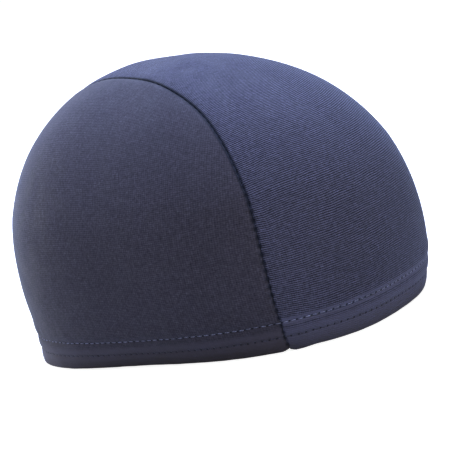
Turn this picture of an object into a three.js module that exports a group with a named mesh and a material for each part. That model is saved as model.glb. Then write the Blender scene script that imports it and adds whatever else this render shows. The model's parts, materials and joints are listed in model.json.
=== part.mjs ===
// Skull cap of stretch knit: three cloth panels, two seams, one turned-up hem.
// Millimetres, +Z up. The cap rests on the edge of its hem, with the brow toward -Y.
import * as THREE from 'three';
import { ParametricGeometry } from 'three/addons/geometries/ParametricGeometry.js';
import { mergeGeometries, mergeVertices } from 'three/addons/utils/BufferGeometryUtils.js';

// Driving sizes: the plain dome that the table below fills out, its rise above the widest
// level and the drop from there to the rim. The cap comes out 176 long, 143 wide, 117 high.
const DOME_LENGTH = 176;
const DOME_WIDTH = 146;
const CROWN_RISE = 80;
const RIM_DROP = 36.5;

// Cloth, hem and seam sizes.
const CLOTH = 1.0;
const HEM_WIDTH = 14;
const HEM_THICKNESS = 2.2;
const SEAM_GAP = 0.36;
const NOTCH_WIDTH = 2.5;
const NOTCH_DEPTH = 1.2;
const ALLOWANCE_WIDTH = 5.5;
const ALLOWANCE_THICKNESS = 1.2;
const ALLOWANCE_OVERLAP = 1.0;
const ALLOWANCE_GAP = 0.3;
const ALLOWANCE_CLEAR_OF_HEM = 4;

// Dome shape: latitude in degrees above the widest level, then how far the cloth stands out
// toward the brow, the side and the back, as shares of the plain dome.
const DOME_TABLE = [
  { latitude: -40, brow: 1.09, side: 0.887, back: 1.218 },
  { latitude: -20, brow: 1.065, side: 0.951, back: 1.013 },
  { latitude: 0, brow: 1.025, side: 0.975, back: 0.96 },
  { latitude: 20, brow: 0.995, side: 1.0, back: 0.975 },
  { latitude: 40, brow: 0.975, side: 1.005, back: 1.02 },
  { latitude: 60, brow: 0.97, side: 0.995, back: 1.045 },
  { latitude: 75, brow: 0.985, side: 1.0, back: 1.03 },
  { latitude: 90, brow: 1.0, side: 1.0, back: 1.0 },
];
// Exponents of the plan outline: 2 is an ellipse, more is squarer. Down the hem the back of
// the cap grows squarer still.
const BROW_SQUARENESS = 2.4;
const BACK_SQUARENESS = 2.55;
const BACK_RIM_SQUARENESS = 3.15;
const RIM_SQUARE_FROM_DEG = -8;
const RIM_SQUARE_AT_DEG = -28;
const SQUARE_UP_TO_DEG = 20;
const ROUND_FROM_DEG = 75;

// Half width of the centre panel as a share of half the dome width. The angle runs over the
// top: 0 at the brow, 90 at the crown, 180 at the back, below 0 and above 180 at the rim.
const SEAM_TABLE = [
  { angle: -45, halfWidth: 0.62 },
  { angle: -30, halfWidth: 0.685 },
  { angle: -15, halfWidth: 0.75 },
  { angle: 0, halfWidth: 0.768 },
  { angle: 15, halfWidth: 0.75 },
  { angle: 30, halfWidth: 0.696 },
  { angle: 45, halfWidth: 0.61 },
  { angle: 60, halfWidth: 0.503 },
  { angle: 75, halfWidth: 0.4 },
  { angle: 90, halfWidth: 0.297 },
  { angle: 105, halfWidth: 0.212 },
  { angle: 120, halfWidth: 0.168 },
  { angle: 140, halfWidth: 0.152 },
  { angle: 180, halfWidth: 0.15 },
  { angle: 225, halfWidth: 0.15 },
];

// Mesh density.
const SEAM_ROW_COUNT = 44;
const ROWS_UP_SIDE = 13;
const ROWS_CROWD_TO_SEAM = 1.3;
const ROWS_IN_HEM = 3;
const STRIPS_ACROSS_CENTRE = 12;

const HALF_LENGTH = DOME_LENGTH / 2;
const HALF_WIDTH = DOME_WIDTH / 2;

function radians(degrees) {
  return (degrees * Math.PI) / 180;
}

function degrees(angle) {
  return (angle * 180) / Math.PI;
}

function mix(from, to, share) {
  return from + (to - from) * share;
}

function clamp01(value) {
  return Math.min(1, Math.max(0, value));
}

// Smooth curve through a table column; its slope ends level at the last row.
function readTable(table, key, column, at) {
  const last = table.length - 1;
  let row = 0;
  while (row < last - 1 && at > table[row + 1][key]) {
    row += 1;
  }
  const slopeAt = (index) => {
    if (index === last) {
      return 0;
    }
    const before = Math.max(index - 1, 0);
    const rise = table[index + 1][column] - table[before][column];
    return rise / (table[index + 1][key] - table[before][key]);
  };
  const span = table[row + 1][key] - table[row][key];
  const t = (at - table[row][key]) / span;
  const start = table[row][column];
  const end = table[row + 1][column];
  const bend = t * t * (3 - 2 * t);
  const startPull = t * (1 - t) * (1 - t) * span * slopeAt(row);
  const endPull = t * t * (t - 1) * span * slopeAt(row + 1);
  return mix(start, end, bend) + startPull + endPull;
}

function backSquareness(latitude) {
  const span = RIM_SQUARE_FROM_DEG - RIM_SQUARE_AT_DEG;
  const share = Math.max(0, (RIM_SQUARE_FROM_DEG - latitude) / span);
  return mix(BACK_SQUARENESS, BACK_RIM_SQUARENESS, share * share);
}

// How far the cloth stands out in one direction, against the plain dome.
function fullness(latitude, azimuth) {
  const ahead = Math.cos(azimuth);
  const aside = Math.abs(Math.sin(azimuth));
  const column = ahead > 0 ? 'brow' : 'back';
  const lengthwise = readTable(DOME_TABLE, 'latitude', column, latitude);
  const sideways = readTable(DOME_TABLE, 'latitude', 'side', latitude);
  const squareness = ahead > 0 ? BROW_SQUARENESS : backSquareness(latitude);
  const fade = ROUND_FROM_DEG - SQUARE_UP_TO_DEG;
  const power = mix(2, squareness, clamp01((ROUND_FROM_DEG - latitude) / fade));
  const sum = (Math.abs(ahead) / lengthwise) ** power + (aside / sideways) ** power;
  return sum ** (-1 / power);
}

function domePoint(latitude, azimuth) {
  const reach = fullness(latitude, azimuth);
  const level = Math.cos(radians(latitude)) * reach;
  return [
    HALF_WIDTH * level * Math.sin(azimuth),
    -HALF_LENGTH * level * Math.cos(azimuth),
    RIM_DROP + CROWN_RISE * reach * Math.sin(radians(latitude)),
  ];
}

function directionOf(point) {
  const across = point[0] / HALF_WIDTH;
  const along = point[1] / HALF_LENGTH;
  const up = (point[2] - RIM_DROP) / CROWN_RISE;
  const flat = Math.hypot(across, along);
  return {
    latitude: degrees(Math.atan2(up, flat)),
    azimuth: Math.atan2(across, -along),
    reach: Math.hypot(flat, up),
  };
}

// Above 1 outside the cap, below 1 inside it.
function outsideness(point) {
  const towards = directionOf(point);
  return towards.reach / fullness(towards.latitude, towards.azimuth);
}

function step(point, direction, distance) {
  return point.map((value, axis) => value + direction[axis] * distance);
}

function difference(a, b) {
  return a.map((value, axis) => value - b[axis]);
}

function unit(vector) {
  const size = Math.hypot(...vector);
  return vector.map((value) => value / size);
}

function cross(a, b) {
  return [
    a[1] * b[2] - a[2] * b[1],
    a[2] * b[0] - a[0] * b[2],
    a[0] * b[1] - a[1] * b[0],
  ];
}

function halve(low, high, isLow) {
  let from = low;
  let to = high;
  for (let turn = 0; turn < 40; turn += 1) {
    const middle = (from + to) / 2;
    if (isLow(middle)) {
      from = middle;
    } else {
      to = middle;
    }
  }
  return (from + to) / 2;
}

// The point where a line from inside the cap meets the outer face of the cloth.
function ontoSurface(start, direction, nearest, farthest) {
  const isInside = (distance) => outsideness(step(start, direction, distance)) < 1;
  return step(start, direction, halve(nearest, farthest, isInside));
}

function overTheTop(angle, across) {
  const start = [across, 0, RIM_DROP];
  const direction = [0, -Math.cos(radians(angle)), Math.sin(radians(angle))];
  return ontoSurface(start, direction, 0, 2 * DOME_LENGTH);
}

function outwardAt(point) {
  const small = 0.01;
  const slope = [0, 1, 2].map((axis) => {
    const ahead = [...point];
    const behind = [...point];
    ahead[axis] += small;
    behind[axis] -= small;
    return outsideness(ahead) - outsideness(behind);
  });
  return unit(slope);
}

// Moves a point of the outer face inward. At the rim it moves level, so the rim stays flat.
function inward(point, depth) {
  const outward = outwardAt(point);
  const tilt = clamp01(point[2] / HEM_WIDTH);
  const direction = unit([outward[0], outward[1], outward[2] * tilt]);
  return step(point, direction, -depth);
}

function seamHalfWidth(angle) {
  return HALF_WIDTH * readTable(SEAM_TABLE, 'angle', 'halfWidth', angle);
}

// A point of a panel edge or of the centre panel; shift is measured across the cap.
function panelPoint(angle, share, shift) {
  return overTheTop(angle, seamHalfWidth(angle) * share + shift);
}

// The over-the-top angle at which a lengthwise line of a panel reaches a height.
function browAngleAt(height, share, shift) {
  return halve(-45, 45, (angle) => panelPoint(angle, share, shift)[2] < height);
}

function backAngleAt(height, share, shift) {
  return halve(135, 225, (angle) => panelPoint(angle, share, shift)[2] > height);
}

function levelPoint(height, azimuth) {
  const isBelow = (latitude) => domePoint(latitude, azimuth)[2] < height;
  return domePoint(halve(-60, 60, isBelow), azimuth);
}

// Values of t in 0..1 that cut a curve into pieces of one length.
function evenSteps(curve, count) {
  const samples = 240;
  const run = [0];
  for (let index = 1; index <= samples; index += 1) {
    const before = curve((index - 1) / samples);
    run.push(run[index - 1] + Math.hypot(...difference(before, curve(index / samples))));
  }
  const steps = [];
  let index = 1;
  for (let piece = 0; piece <= count; piece += 1) {
    const wanted = (run[samples] * piece) / count;
    while (index < samples && run[index] < wanted) {
      index += 1;
    }
    const part = (wanted - run[index - 1]) / (run[index] - run[index - 1]);
    steps.push((index - 1 + clamp01(part)) / samples);
  }
  steps[0] = 0;
  steps[count] = 1;
  return { steps, length: run[samples] };
}

// A face of a piece, through rows of points. A turned face looks the other way.
function face(rows, turned) {
  const lastRow = rows.length - 1;
  const lastColumn = rows[0].length - 1;
  const geometry = new ParametricGeometry((u, v, target) => {
    const row = rows[Math.round(v * lastRow)];
    const across = turned ? 1 - u : u;
    target.set(...row[Math.round(across * lastColumn)]);
  }, lastColumn, lastRow);
  geometry.deleteAttribute('normal');
  geometry.deleteAttribute('uv');
  return geometry;
}

// Joins faces into one closed skin. Where rows meet in a corner, empty triangles are dropped.
function closedSkin(faces) {
  const skin = mergeVertices(mergeGeometries(faces), 1e-4);
  const index = skin.getIndex().array;
  const kept = [];
  for (let corner = 0; corner < index.length; corner += 3) {
    const [a, b, c] = index.slice(corner, corner + 3);
    if (a !== b && b !== c && a !== c) {
      kept.push(a, b, c);
    }
  }
  skin.setIndex(kept);
  return skin;
}

// Closes a cloth panel: the outer rows, the same rows moved inward, and a strip along each
// edge. Bands of rows are single cloth, or cloth doubled by the turned-up hem.
function clothPanel(outerRows, bands) {
  const moved = (points, depth) => points.map((point) => inward(point, depth));
  const faces = [face(outerRows, false)];
  const layersOf = (band) => (band.doubled ? [0, CLOTH, HEM_THICKNESS] : [0, CLOTH]);
  const depthOf = (band) => (band.doubled ? HEM_THICKNESS : CLOTH);
  bands.forEach((band, index) => {
    const outer = outerRows.slice(band.first, band.last + 1);
    const lastColumn = outer[0].length - 1;
    const edge = (column) => {
      const points = outer.map((row) => row[column]);
      return layersOf(band).map((depth) => moved(points, depth));
    };
    faces.push(face(outer.map((row) => moved(row, depthOf(band))), true));
    faces.push(face(edge(0), false));
    faces.push(face(edge(lastColumn), true));
    if (index > 0) {
      const fold = outerRows[band.first];
      const depths = [depthOf(bands[index - 1]), depthOf(band)];
      faces.push(face(depths.map((depth) => moved(fold, depth)), true));
    }
  });
  const first = outerRows[0];
  const last = outerRows[outerRows.length - 1];
  const firstLayers = layersOf(bands[0]);
  const lastLayers = layersOf(bands[bands.length - 1]);
  faces.push(face(firstLayers.map((depth) => moved(first, depth)), true));
  faces.push(face(lastLayers.map((depth) => moved(last, depth)), false));
  return closedSkin(faces);
}

// Lifts the rim close to a seam, which leaves a small notch in the edge of the hem.
function notched(point, height, distance) {
  if (height > 0) {
    return point;
  }
  return [point[0], point[1], NOTCH_DEPTH * clamp01(1 - distance / NOTCH_WIDTH)];
}

// Stations along the seam, as shares of its run between the hem lines.
function seamRun(shift) {
  const first = browAngleAt(HEM_WIDTH, 1, shift);
  const last = backAngleAt(HEM_WIDTH, 1, shift);
  return { first, last };
}

const edgeRun = seamRun(0);
const seamSteps = evenSteps(
  (t) => panelPoint(mix(edgeRun.first, edgeRun.last, t), 1, 0),
  SEAM_ROW_COUNT,
).steps;

function centrePanel() {
  const shift = -SEAM_GAP / 2;
  const browEdge = panelPoint(browAngleAt(0, 1, shift), 1, shift);
  const notchShare = NOTCH_WIDTH / browEdge[0];
  const shares = [-1, -1 + notchShare];
  for (let strip = 1; strip < STRIPS_ACROSS_CENTRE; strip += 1) {
    shares.push(-1 + (2 * strip) / STRIPS_ACROSS_CENTRE);
  }
  shares.push(1 - notchShare, 1);
  const at = (angle, share) => panelPoint(angle, share, shift * share);
  const hemRow = (row, angleAt) => {
    const height = (HEM_WIDTH * row) / ROWS_IN_HEM;
    return shares.map((share) => {
      const point = at(angleAt(height, share, shift * share), share);
      const toSeam = (1 - Math.abs(share)) * browEdge[0];
      return notched(point, height, toSeam);
    });
  };
  const rows = [];
  for (let row = 0; row < ROWS_IN_HEM; row += 1) {
    rows.push(hemRow(row, browAngleAt));
  }
  const ends = shares.map((share) => ({
    first: browAngleAt(HEM_WIDTH, share, shift * share),
    last: backAngleAt(HEM_WIDTH, share, shift * share),
  }));
  for (const along of seamSteps) {
    rows.push(shares.map((share, column) => {
      const { first, last } = ends[column];
      return at(mix(first, last, along), share);
    }));
  }
  for (let row = ROWS_IN_HEM - 1; row >= 0; row -= 1) {
    rows.push(hemRow(row, backAngleAt));
  }
  const lastRow = rows.length - 1;
  return clothPanel(rows, [
    { first: 0, last: ROWS_IN_HEM, doubled: true },
    { first: ROWS_IN_HEM, last: lastRow - ROWS_IN_HEM, doubled: false },
    { first: lastRow - ROWS_IN_HEM, last: lastRow, doubled: true },
  ]);
}

// The side panel on the wearer's left, from the rim up to the seam.
function sidePanel() {
  const shift = SEAM_GAP / 2;
  const { first, last } = seamRun(shift);
  const seamPoints = seamSteps.map((along) => panelPoint(mix(first, last, along), 1, shift));
  const browAzimuth = (height) => {
    const point = panelPoint(browAngleAt(height, 1, shift), 1, shift);
    return directionOf(point).azimuth;
  };
  const backAzimuth = (height) => {
    const point = panelPoint(backAngleAt(height, 1, shift), 1, shift);
    return directionOf(point).azimuth;
  };
  const hemFrom = browAzimuth(HEM_WIDTH);
  const hemTo = backAzimuth(HEM_WIDTH);
  const hemLine = (t) => levelPoint(HEM_WIDTH, mix(hemFrom, hemTo, t));
  const around = evenSteps(hemLine, SEAM_ROW_COUNT);
  const notchShare = NOTCH_WIDTH / around.length;

  // One more station close to each seam carries the notch.
  const stations = seamPoints.map((point, index) => ({ point, around: around.steps[index] }));
  const between = (a, b, part) => {
    const along = mix(seamSteps[a], seamSteps[b], part);
    const point = panelPoint(mix(first, last, along), 1, shift);
    return { point, around: mix(around.steps[a], around.steps[b], part) };
  };
  const nearBrow = between(0, 1, notchShare / around.steps[1]);
  const end = SEAM_ROW_COUNT;
  const nearBack = between(end, end - 1, notchShare / (1 - around.steps[end - 1]));
  stations.splice(1, 0, nearBrow);
  stations.splice(stations.length - 1, 0, nearBack);

  const rows = [];
  for (let row = 0; row <= ROWS_IN_HEM; row += 1) {
    const height = (HEM_WIDTH * row) / ROWS_IN_HEM;
    const from = browAzimuth(height);
    const to = backAzimuth(height);
    rows.push(stations.map((station) => {
      const point = levelPoint(height, mix(from, to, station.around));
      const toSeam = Math.min(station.around, 1 - station.around) * around.length;
      return notched(point, height, toSeam);
    }));
  }
  // Above the hem the rows close up toward the two corners where the seam meets the hem line.
  const hemRow = rows[ROWS_IN_HEM];
  const lastColumn = stations.length - 1;
  for (let row = 1; row <= ROWS_UP_SIDE; row += 1) {
    rows.push(stations.map((station, column) => {
      if (column === 0 || column === lastColumn) {
        return hemRow[column];
      }
      if (row === ROWS_UP_SIDE) {
        return station.point;
      }
      const foot = directionOf(hemRow[column]);
      const top = directionOf(station.point);
      const up = 1 - (1 - row / ROWS_UP_SIDE) ** ROWS_CROWD_TO_SEAM;
      const latitude = mix(foot.latitude, top.latitude, up);
      return domePoint(latitude, mix(foot.azimuth, top.azimuth, up));
    }));
  }
  return clothPanel(rows, [
    { first: 0, last: ROWS_IN_HEM, doubled: true },
    { first: ROWS_IN_HEM, last: rows.length - 1, doubled: false },
  ]);
}

// The seam allowance on the wearer's left: both trimmed edges, laid flat inside the side panel.
function seamAllowance() {
  const start = browAngleAt(HEM_WIDTH + ALLOWANCE_CLEAR_OF_HEM, 1, 0);
  const finish = backAngleAt(HEM_WIDTH + ALLOWANCE_CLEAR_OF_HEM, 1, 0);
  const seamAt = (t) => panelPoint(mix(start, finish, t), 1, 0);
  const { steps } = evenSteps(seamAt, SEAM_ROW_COUNT);
  const near = CLOTH + ALLOWANCE_GAP;
  const far = near + ALLOWANCE_THICKNESS;
  const laterals = [0, 0.5, 1].map(
    (share) => mix(-ALLOWANCE_OVERLAP, ALLOWANCE_WIDTH - ALLOWANCE_OVERLAP, share),
  );
  const loops = steps.map((t) => {
    const small = 0.002;
    const point = seamAt(t);
    const ahead = seamAt(Math.min(t + small, 1));
    const behind = seamAt(Math.max(t - small, 0));
    const along = unit(difference(ahead, behind));
    const outward = outwardAt(point);
    const aside = unit(cross(along, outward));
    const cloth = laterals.map((lateral) => {
      const beside = step(point, aside, lateral);
      return ontoSurface(beside, outward, -CLOTH, CLOTH);
    });
    const upper = cloth.map((place) => step(place, outwardAt(place), -near));
    const lower = cloth.map((place) => step(place, outwardAt(place), -far));
    return [...upper, ...lower.reverse(), upper[0]];
  });
  const end = (loop) => [loop.slice(0, 3), [loop[5], loop[4], loop[3]]];
  return closedSkin([
    face(loops, false),
    face(end(loops[0]), true),
    face(end(loops[loops.length - 1]), false),
  ]);
}

// The twin of a piece on the wearer's other side.
function mirrored(geometry) {
  const twin = geometry.clone();
  twin.scale(-1, 1, 1);
  const index = twin.getIndex();
  for (let corner = 0; corner < index.count; corner += 3) {
    const second = index.getX(corner + 1);
    index.setX(corner + 1, index.getX(corner + 2));
    index.setX(corner + 2, second);
  }
  return twin;
}

const cap = new THREE.Group();
cap.name = 'skull_cap';

function add(name, geometry, color) {
  const material = new THREE.MeshStandardMaterial({ color, roughness: 0.85, metalness: 0 });
  const mesh = new THREE.Mesh(geometry, material);
  mesh.name = name;
  cap.add(mesh);
}

const side = sidePanel();
const allowance = seamAllowance();
add('centre_panel', centrePanel(), 0x3b3f5c);
add('left_panel', side, 0x33354a);
add('right_panel', mirrored(side), 0x33354a);
add('left_seam', allowance, 0x20222f);
add('right_seam', mirrored(allowance), 0x20222f);

// The origin is under the middle of the cap, on the plane it rests on.
const extent = new THREE.Box3().setFromObject(cap);
const middle = extent.getCenter(new THREE.Vector3());
for (const mesh of cap.children) {
  mesh.geometry.translate(0, -middle.y, 0);
  mesh.geometry.computeVertexNormals();
}

export default cap;
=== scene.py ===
"""Looks of a stretch-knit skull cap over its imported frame: three cloth panels with ribs and
grain, two seams with their overlocked allowances, and a turned-up hem with two rows of
stitches. Metres, +Z up, the brow toward -Y, the wearer's left toward +X."""

import json
import math

import bmesh
import bpy
import numpy as np
from bpy.props import FloatProperty, FloatVectorProperty, PointerProperty
from mathutils import Matrix, Vector


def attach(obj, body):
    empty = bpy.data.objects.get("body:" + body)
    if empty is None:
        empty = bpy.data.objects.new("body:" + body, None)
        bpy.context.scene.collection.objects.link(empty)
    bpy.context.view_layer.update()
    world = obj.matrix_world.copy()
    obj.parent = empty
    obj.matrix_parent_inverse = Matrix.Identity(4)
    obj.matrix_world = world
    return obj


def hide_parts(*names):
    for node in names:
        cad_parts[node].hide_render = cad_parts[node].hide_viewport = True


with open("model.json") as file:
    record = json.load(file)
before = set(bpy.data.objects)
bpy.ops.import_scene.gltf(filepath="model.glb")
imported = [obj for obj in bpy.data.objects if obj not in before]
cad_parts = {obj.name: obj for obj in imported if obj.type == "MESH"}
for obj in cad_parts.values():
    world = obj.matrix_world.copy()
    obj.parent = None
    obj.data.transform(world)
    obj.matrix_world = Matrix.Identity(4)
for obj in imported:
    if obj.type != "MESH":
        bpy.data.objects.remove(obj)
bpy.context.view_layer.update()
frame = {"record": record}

bl_info = {
    "name": "Skull cap",
    "version": (1, 0, 0),
    "blender": (4, 5, 0),
    "location": "View3D > Sidebar > Skull Cap",
    "description": "Builds the cloth, seams, stitches and studio of a knit skull cap",
    "category": "Object",
}

SLOT_COLOURS = {m["slot"]: m["base_color"] for m in frame["record"]["materials"]}

# The plain dome. The table's columns: latitude in degrees, and how far the cloth stands out
# of the dome there toward the brow, the side and the back.
DOME_LENGTH = 0.176
DOME_WIDTH = 0.146
CROWN_RISE = 0.080
RIM_DROP = 0.0365
DOME_TABLE = np.array(
    [
        (-40, 1.09, 0.887, 1.218),
        (-20, 1.065, 0.951, 1.013),
        (0, 1.025, 0.975, 0.96),
        (20, 0.995, 1.0, 0.975),
        (40, 0.975, 1.005, 1.02),
        (60, 0.97, 0.995, 1.045),
        (75, 0.985, 1.0, 1.03),
        (90, 1.0, 1.0, 1.0),
    ]
)
BROW_SQUARENESS = 2.4
BACK_SQUARENESS = 2.55
BACK_RIM_SQUARENESS = 3.15
RIM_SQUARE_FROM_DEG = -8
RIM_SQUARE_AT_DEG = -28
SQUARE_UP_TO_DEG = 20
ROUND_FROM_DEG = 75

# Angle over the top (0 brow, 90 crown, 180 back), half width of the centre panel as a share.
SEAM_TABLE = np.array(
    [
        (-45, 0.62),
        (-30, 0.685),
        (-15, 0.75),
        (0, 0.768),
        (15, 0.75),
        (30, 0.696),
        (45, 0.61),
        (60, 0.503),
        (75, 0.4),
        (90, 0.297),
        (105, 0.212),
        (120, 0.168),
        (140, 0.152),
        (180, 0.15),
        (225, 0.15),
    ]
)

# How far the hem's edge is lifted off the ground around the cap, in millimetres. Azimuth 0
# is the brow, -90 the wearer's right.
RIM_LIFT_TABLE = np.array(
    [
        (-180, 0.3),
        (-150, 0.3),
        (-133, 0.25),
        (-119, 0.55),
        (-112, 0.7),
        (-104, 0.2),
        (-97, 0),
        (-84, 0),
        (-72, 0.15),
        (-65, 0.5),
        (-58, 0.2),
        (-52, 0),
        (-41, 0),
        (-36, 0.4),
        (-30, 0.2),
        (-23, 0),
        (-8, 0),
        (0, 0.1),
        (14, 0.3),
        (25, 0.5),
        (45, 0.2),
        (80, 0.2),
        (110, 0.5),
        (150, 0.1),
        (180, 0.3),
    ]
)

# The turned-up hem.
HEM_WIDTH = 0.014
HEM_THICKNESS = 0.0022
ROWS_OF_STITCHES = (0.0070, 0.0136)
ROW_WIDTH = 0.0009
FOLD_TOP = 0.0018
FOLD_PLAY = 0.00008
INSIDE_DEPTHS = (0.0006, 0.0016)
INSIDE_PUCKER = 0.55
RELIEF_FADE = (0.034, 0.024)
HALF_UP_HEM = 0.007
MEASURED_AT = 0.0105
# Height, width and share of the pucker of each soft ridge beside the rows of stitches.
HEM_RIDGES = ((0.0031, 0.0016, 0.45), (0.0103, 0.0018, 0.55), (0.0172, 0.0024, 1.05))

# The seams and the cloth beside them.
SEAM_BAND = 0.0045
BAND_STEPS = (0.0013, 0.0019, 0.0027, 0.0036)
SQUARE_TO_SEAM_FROM = 0.034
NOTCH_WIDTH = 0.0025
NOTCH_DEPTH = 0.0009
SEAM_FLICK = 0.0020
FLICK_HEIGHT = 0.0075
HEM_SEAM_GAP = 0.000004
TIGHT_HEIGHTS = (0.022, 0.028)
DOTTED_RUNS = (0.045, 0.08)
DEEP_DIP_RUNS = (0.05, 0.09)
DIP_WIDTH = 0.0019
HEM_DIP_SHARE = 0.6

# Points of the cloth nearer than this are one. It is less than twice HEM_SEAM_GAP.
WELD = 2e-6

# Steps of the cloth's grids.
CENTRE_STRIPS = 58
CENTRE_ROWS = 330
SIDE_COLUMNS = 168
SIDE_ROWS = 84
SIDE_CORNERS = (0.25, 0.76)
HALVINGS = 28

# Metres of cloth for each radian of the side, as seen from the middle of the cap.
SIDE_RADIUS = 0.078

# The seam allowances inside and their overlock.
ALLOWANCE_WIDTH = 0.0055
ALLOWANCE_OVERLAP = 0.0010
ALLOWANCE_THICKNESS = 0.0012
ALLOWANCE_STEPS = 360
ALLOWANCE_SIDES = 16
ALLOWANCE_ABOVE_HEM = 0.004
OVERLOCK_PITCH = 0.0024

# Threads: widths and heights across them.
SEWING_THREAD_HEIGHT = 0.00034
LADDER_THREAD = (0.0004, 0.0003)
LOOPER_THREAD = (0.0004, 0.0003)
OVERLOCK_THREAD = (0.00036, 0.00030)
LADDER_REACH = 0.0007
LADDER_SLANT = 0.0004
LADDER_DEPTH = 0.00085

# Inputs of the knit's node group for each cloth, its contrast, and the strength of the painted
# highlight on the cloth beside the hem's upper row of stitches.
CENTRE_KNIT = {
    "Rib Pitch": 0.00086, "Grain Pitch": 0.00095, "Rib Share": 0.85, "Grain Share": 0.12,
}
SIDE_KNIT = {
    "Rib Pitch": 0.00086, "Grain Pitch": 0.0010, "Rib Share": 0.2, "Grain Share": 0.14,
}
CENTRE_CONTRAST = 2.6
SIDE_CONTRAST = 2.3
CENTRE_BAND_HIGHLIGHT = 0.75
SIDE_BAND_HIGHLIGHT = 0.1
# Reach and colour of the painted shade in the seams' groove.
SEAM_SHADE_REACH = (0.0003, 0.0015)
SEAM_SHADE_COLOUR = (0.007, 0.008, 0.014, 1)
# Colour of the painted shade in the needle holes.
HOLE_SHADE_COLOUR = (0.006, 0.006, 0.01, 1)
LINT_COLOUR = (0.16, 0.16, 0.18, 1)

# The camera, fitted to the outline of the photographed cap: metres and degrees.
CAMERA_PLACE = (-0.71840, -0.54848, 0.21767)
CAMERA_AZIMUTH = -52.858
CAMERA_ELEVATION = 11.017
CAMERA_ROLL = -13.748
FOCAL_SHARE = 4.7987

# The studio. Each light: name, place, size, the setting of its power, share of it, tinted.
FLOOR_RADIUS = 12.0
FLOOR_TONES = ((0.54, 0.54, 0.54, 1), (0.58, 0.58, 0.58, 1))
LIGHTS_AIM_AT = (0, 0, 0.06)
LIGHTS = (
    ("top", (0.06, 0.17, 1.15), 0.7, "key_power", 1.32, True),
    ("behind", (0.75, 0.45, 0.9), 0.6, "key_power", 0.78, True),
    ("front", (-0.3, -1.2, 0.5), 0.6, "fill_power", 1.0, False),
    ("side", (-0.45, 1.25, 0.3), 0.5, "edge_power", 0.6, False),
    ("edge", (0.1, 1.3, 0.28), 0.5, "edge_power", 1.35, False),
)

HALF_LENGTH = DOME_LENGTH / 2
HALF_WIDTH = DOME_WIDTH / 2
MIRRORED = np.array([-1, 1, 1])


# The dome.


def table_curve(keys, values, at):
    """Smooth curve through a table column; its slope ends level at the last row."""
    at = np.asarray(at, float)
    row = np.clip(np.searchsorted(keys, at) - 1, 0, len(keys) - 2)
    before = np.maximum(np.arange(len(keys) - 1) - 1, 0)
    after = np.arange(1, len(keys))
    slopes = (values[after] - values[before]) / (keys[after] - keys[before])
    slopes = np.append(slopes, 0.0)
    span = keys[row + 1] - keys[row]
    t = (at - keys[row]) / span
    bend = t * t * (3 - 2 * t)
    start_pull = t * (1 - t) ** 2 * span * slopes[row]
    end_pull = t * t * (t - 1) * span * slopes[row + 1]
    return values[row] + (values[row + 1] - values[row]) * bend + start_pull + end_pull


def back_squareness(latitude):
    """The back's corners grow squarer toward the rim."""
    span = RIM_SQUARE_FROM_DEG - RIM_SQUARE_AT_DEG
    share = np.maximum(0, (RIM_SQUARE_FROM_DEG - latitude) / span) ** 2
    return BACK_SQUARENESS + (BACK_RIM_SQUARENESS - BACK_SQUARENESS) * share


def fullness(latitude, azimuth):
    """How far the cloth stands out in one direction, against the plain dome."""
    latitudes, brow, side, back = DOME_TABLE.T
    ahead, aside = np.cos(azimuth), np.abs(np.sin(azimuth))
    to_brow = ahead > 0
    lengthwise = np.where(
        to_brow,
        table_curve(latitudes, brow, latitude),
        table_curve(latitudes, back, latitude),
    )
    sideways = table_curve(latitudes, side, latitude)
    squareness = np.where(to_brow, BROW_SQUARENESS, back_squareness(latitude))
    fade = ROUND_FROM_DEG - SQUARE_UP_TO_DEG
    power = 2 + (squareness - 2) * np.clip((ROUND_FROM_DEG - latitude) / fade, 0, 1)
    total = (np.abs(ahead) / lengthwise) ** power + (aside / sideways) ** power
    return total ** (-1 / power)


def dome_point(latitude, azimuth):
    """A point of the cloth's outer face; latitude in degrees, azimuth 0 at the brow."""
    reach = fullness(latitude, azimuth)
    level = np.cos(np.radians(latitude)) * reach
    across = HALF_WIDTH * level * np.sin(azimuth)
    along = -HALF_LENGTH * level * np.cos(azimuth)
    up = RIM_DROP + CROWN_RISE * reach * np.sin(np.radians(latitude))
    return np.stack([across, along, up], -1)


def direction_of(points):
    """Latitude in degrees, azimuth and reach of points against the plain dome."""
    across = points[..., 0] / HALF_WIDTH
    along = points[..., 1] / HALF_LENGTH
    up = (points[..., 2] - RIM_DROP) / CROWN_RISE
    flat = np.hypot(across, along)
    return np.degrees(np.arctan2(up, flat)), np.arctan2(across, -along), np.hypot(flat, up)


def outsideness(points):
    """Below 1 inside the cap, 1 on its outer face and above 1 outside."""
    latitude, azimuth, reach = direction_of(points)
    return reach / fullness(latitude, azimuth)


def on_dome(points):
    """The points of the cloth's outer face in the same directions from the middle."""
    latitude, azimuth, _ = direction_of(points)
    return dome_point(latitude, azimuth)


def unit(vectors):
    return vectors / np.linalg.norm(vectors, axis=-1, keepdims=True)


def outward_at(points):
    """The way straight out of the cloth."""
    small = 1e-5
    slopes = []
    for axis in np.eye(3):
        slopes.append(outsideness(points + axis * small) - outsideness(points - axis * small))
    return unit(np.stack(slopes, -1))


def depth_direction(points):
    """The way into the cloth. At the rim it is level, so the rim stays flat."""
    outward = outward_at(points)
    tilt = np.clip(points[..., 2:] / HEM_WIDTH, 0, 1)
    return -unit(outward * np.concatenate([np.ones_like(outward[..., :2]), tilt], -1))


def halve(low, high, is_low):
    """Halves a range again and again down to where is_low turns false."""
    low, high = np.array(low, float), np.array(high, float)
    for _ in range(HALVINGS):
        middle = (low + high) / 2
        below = is_low(middle)
        low, high = np.where(below, middle, low), np.where(below, high, middle)
    return (low + high) / 2


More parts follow.
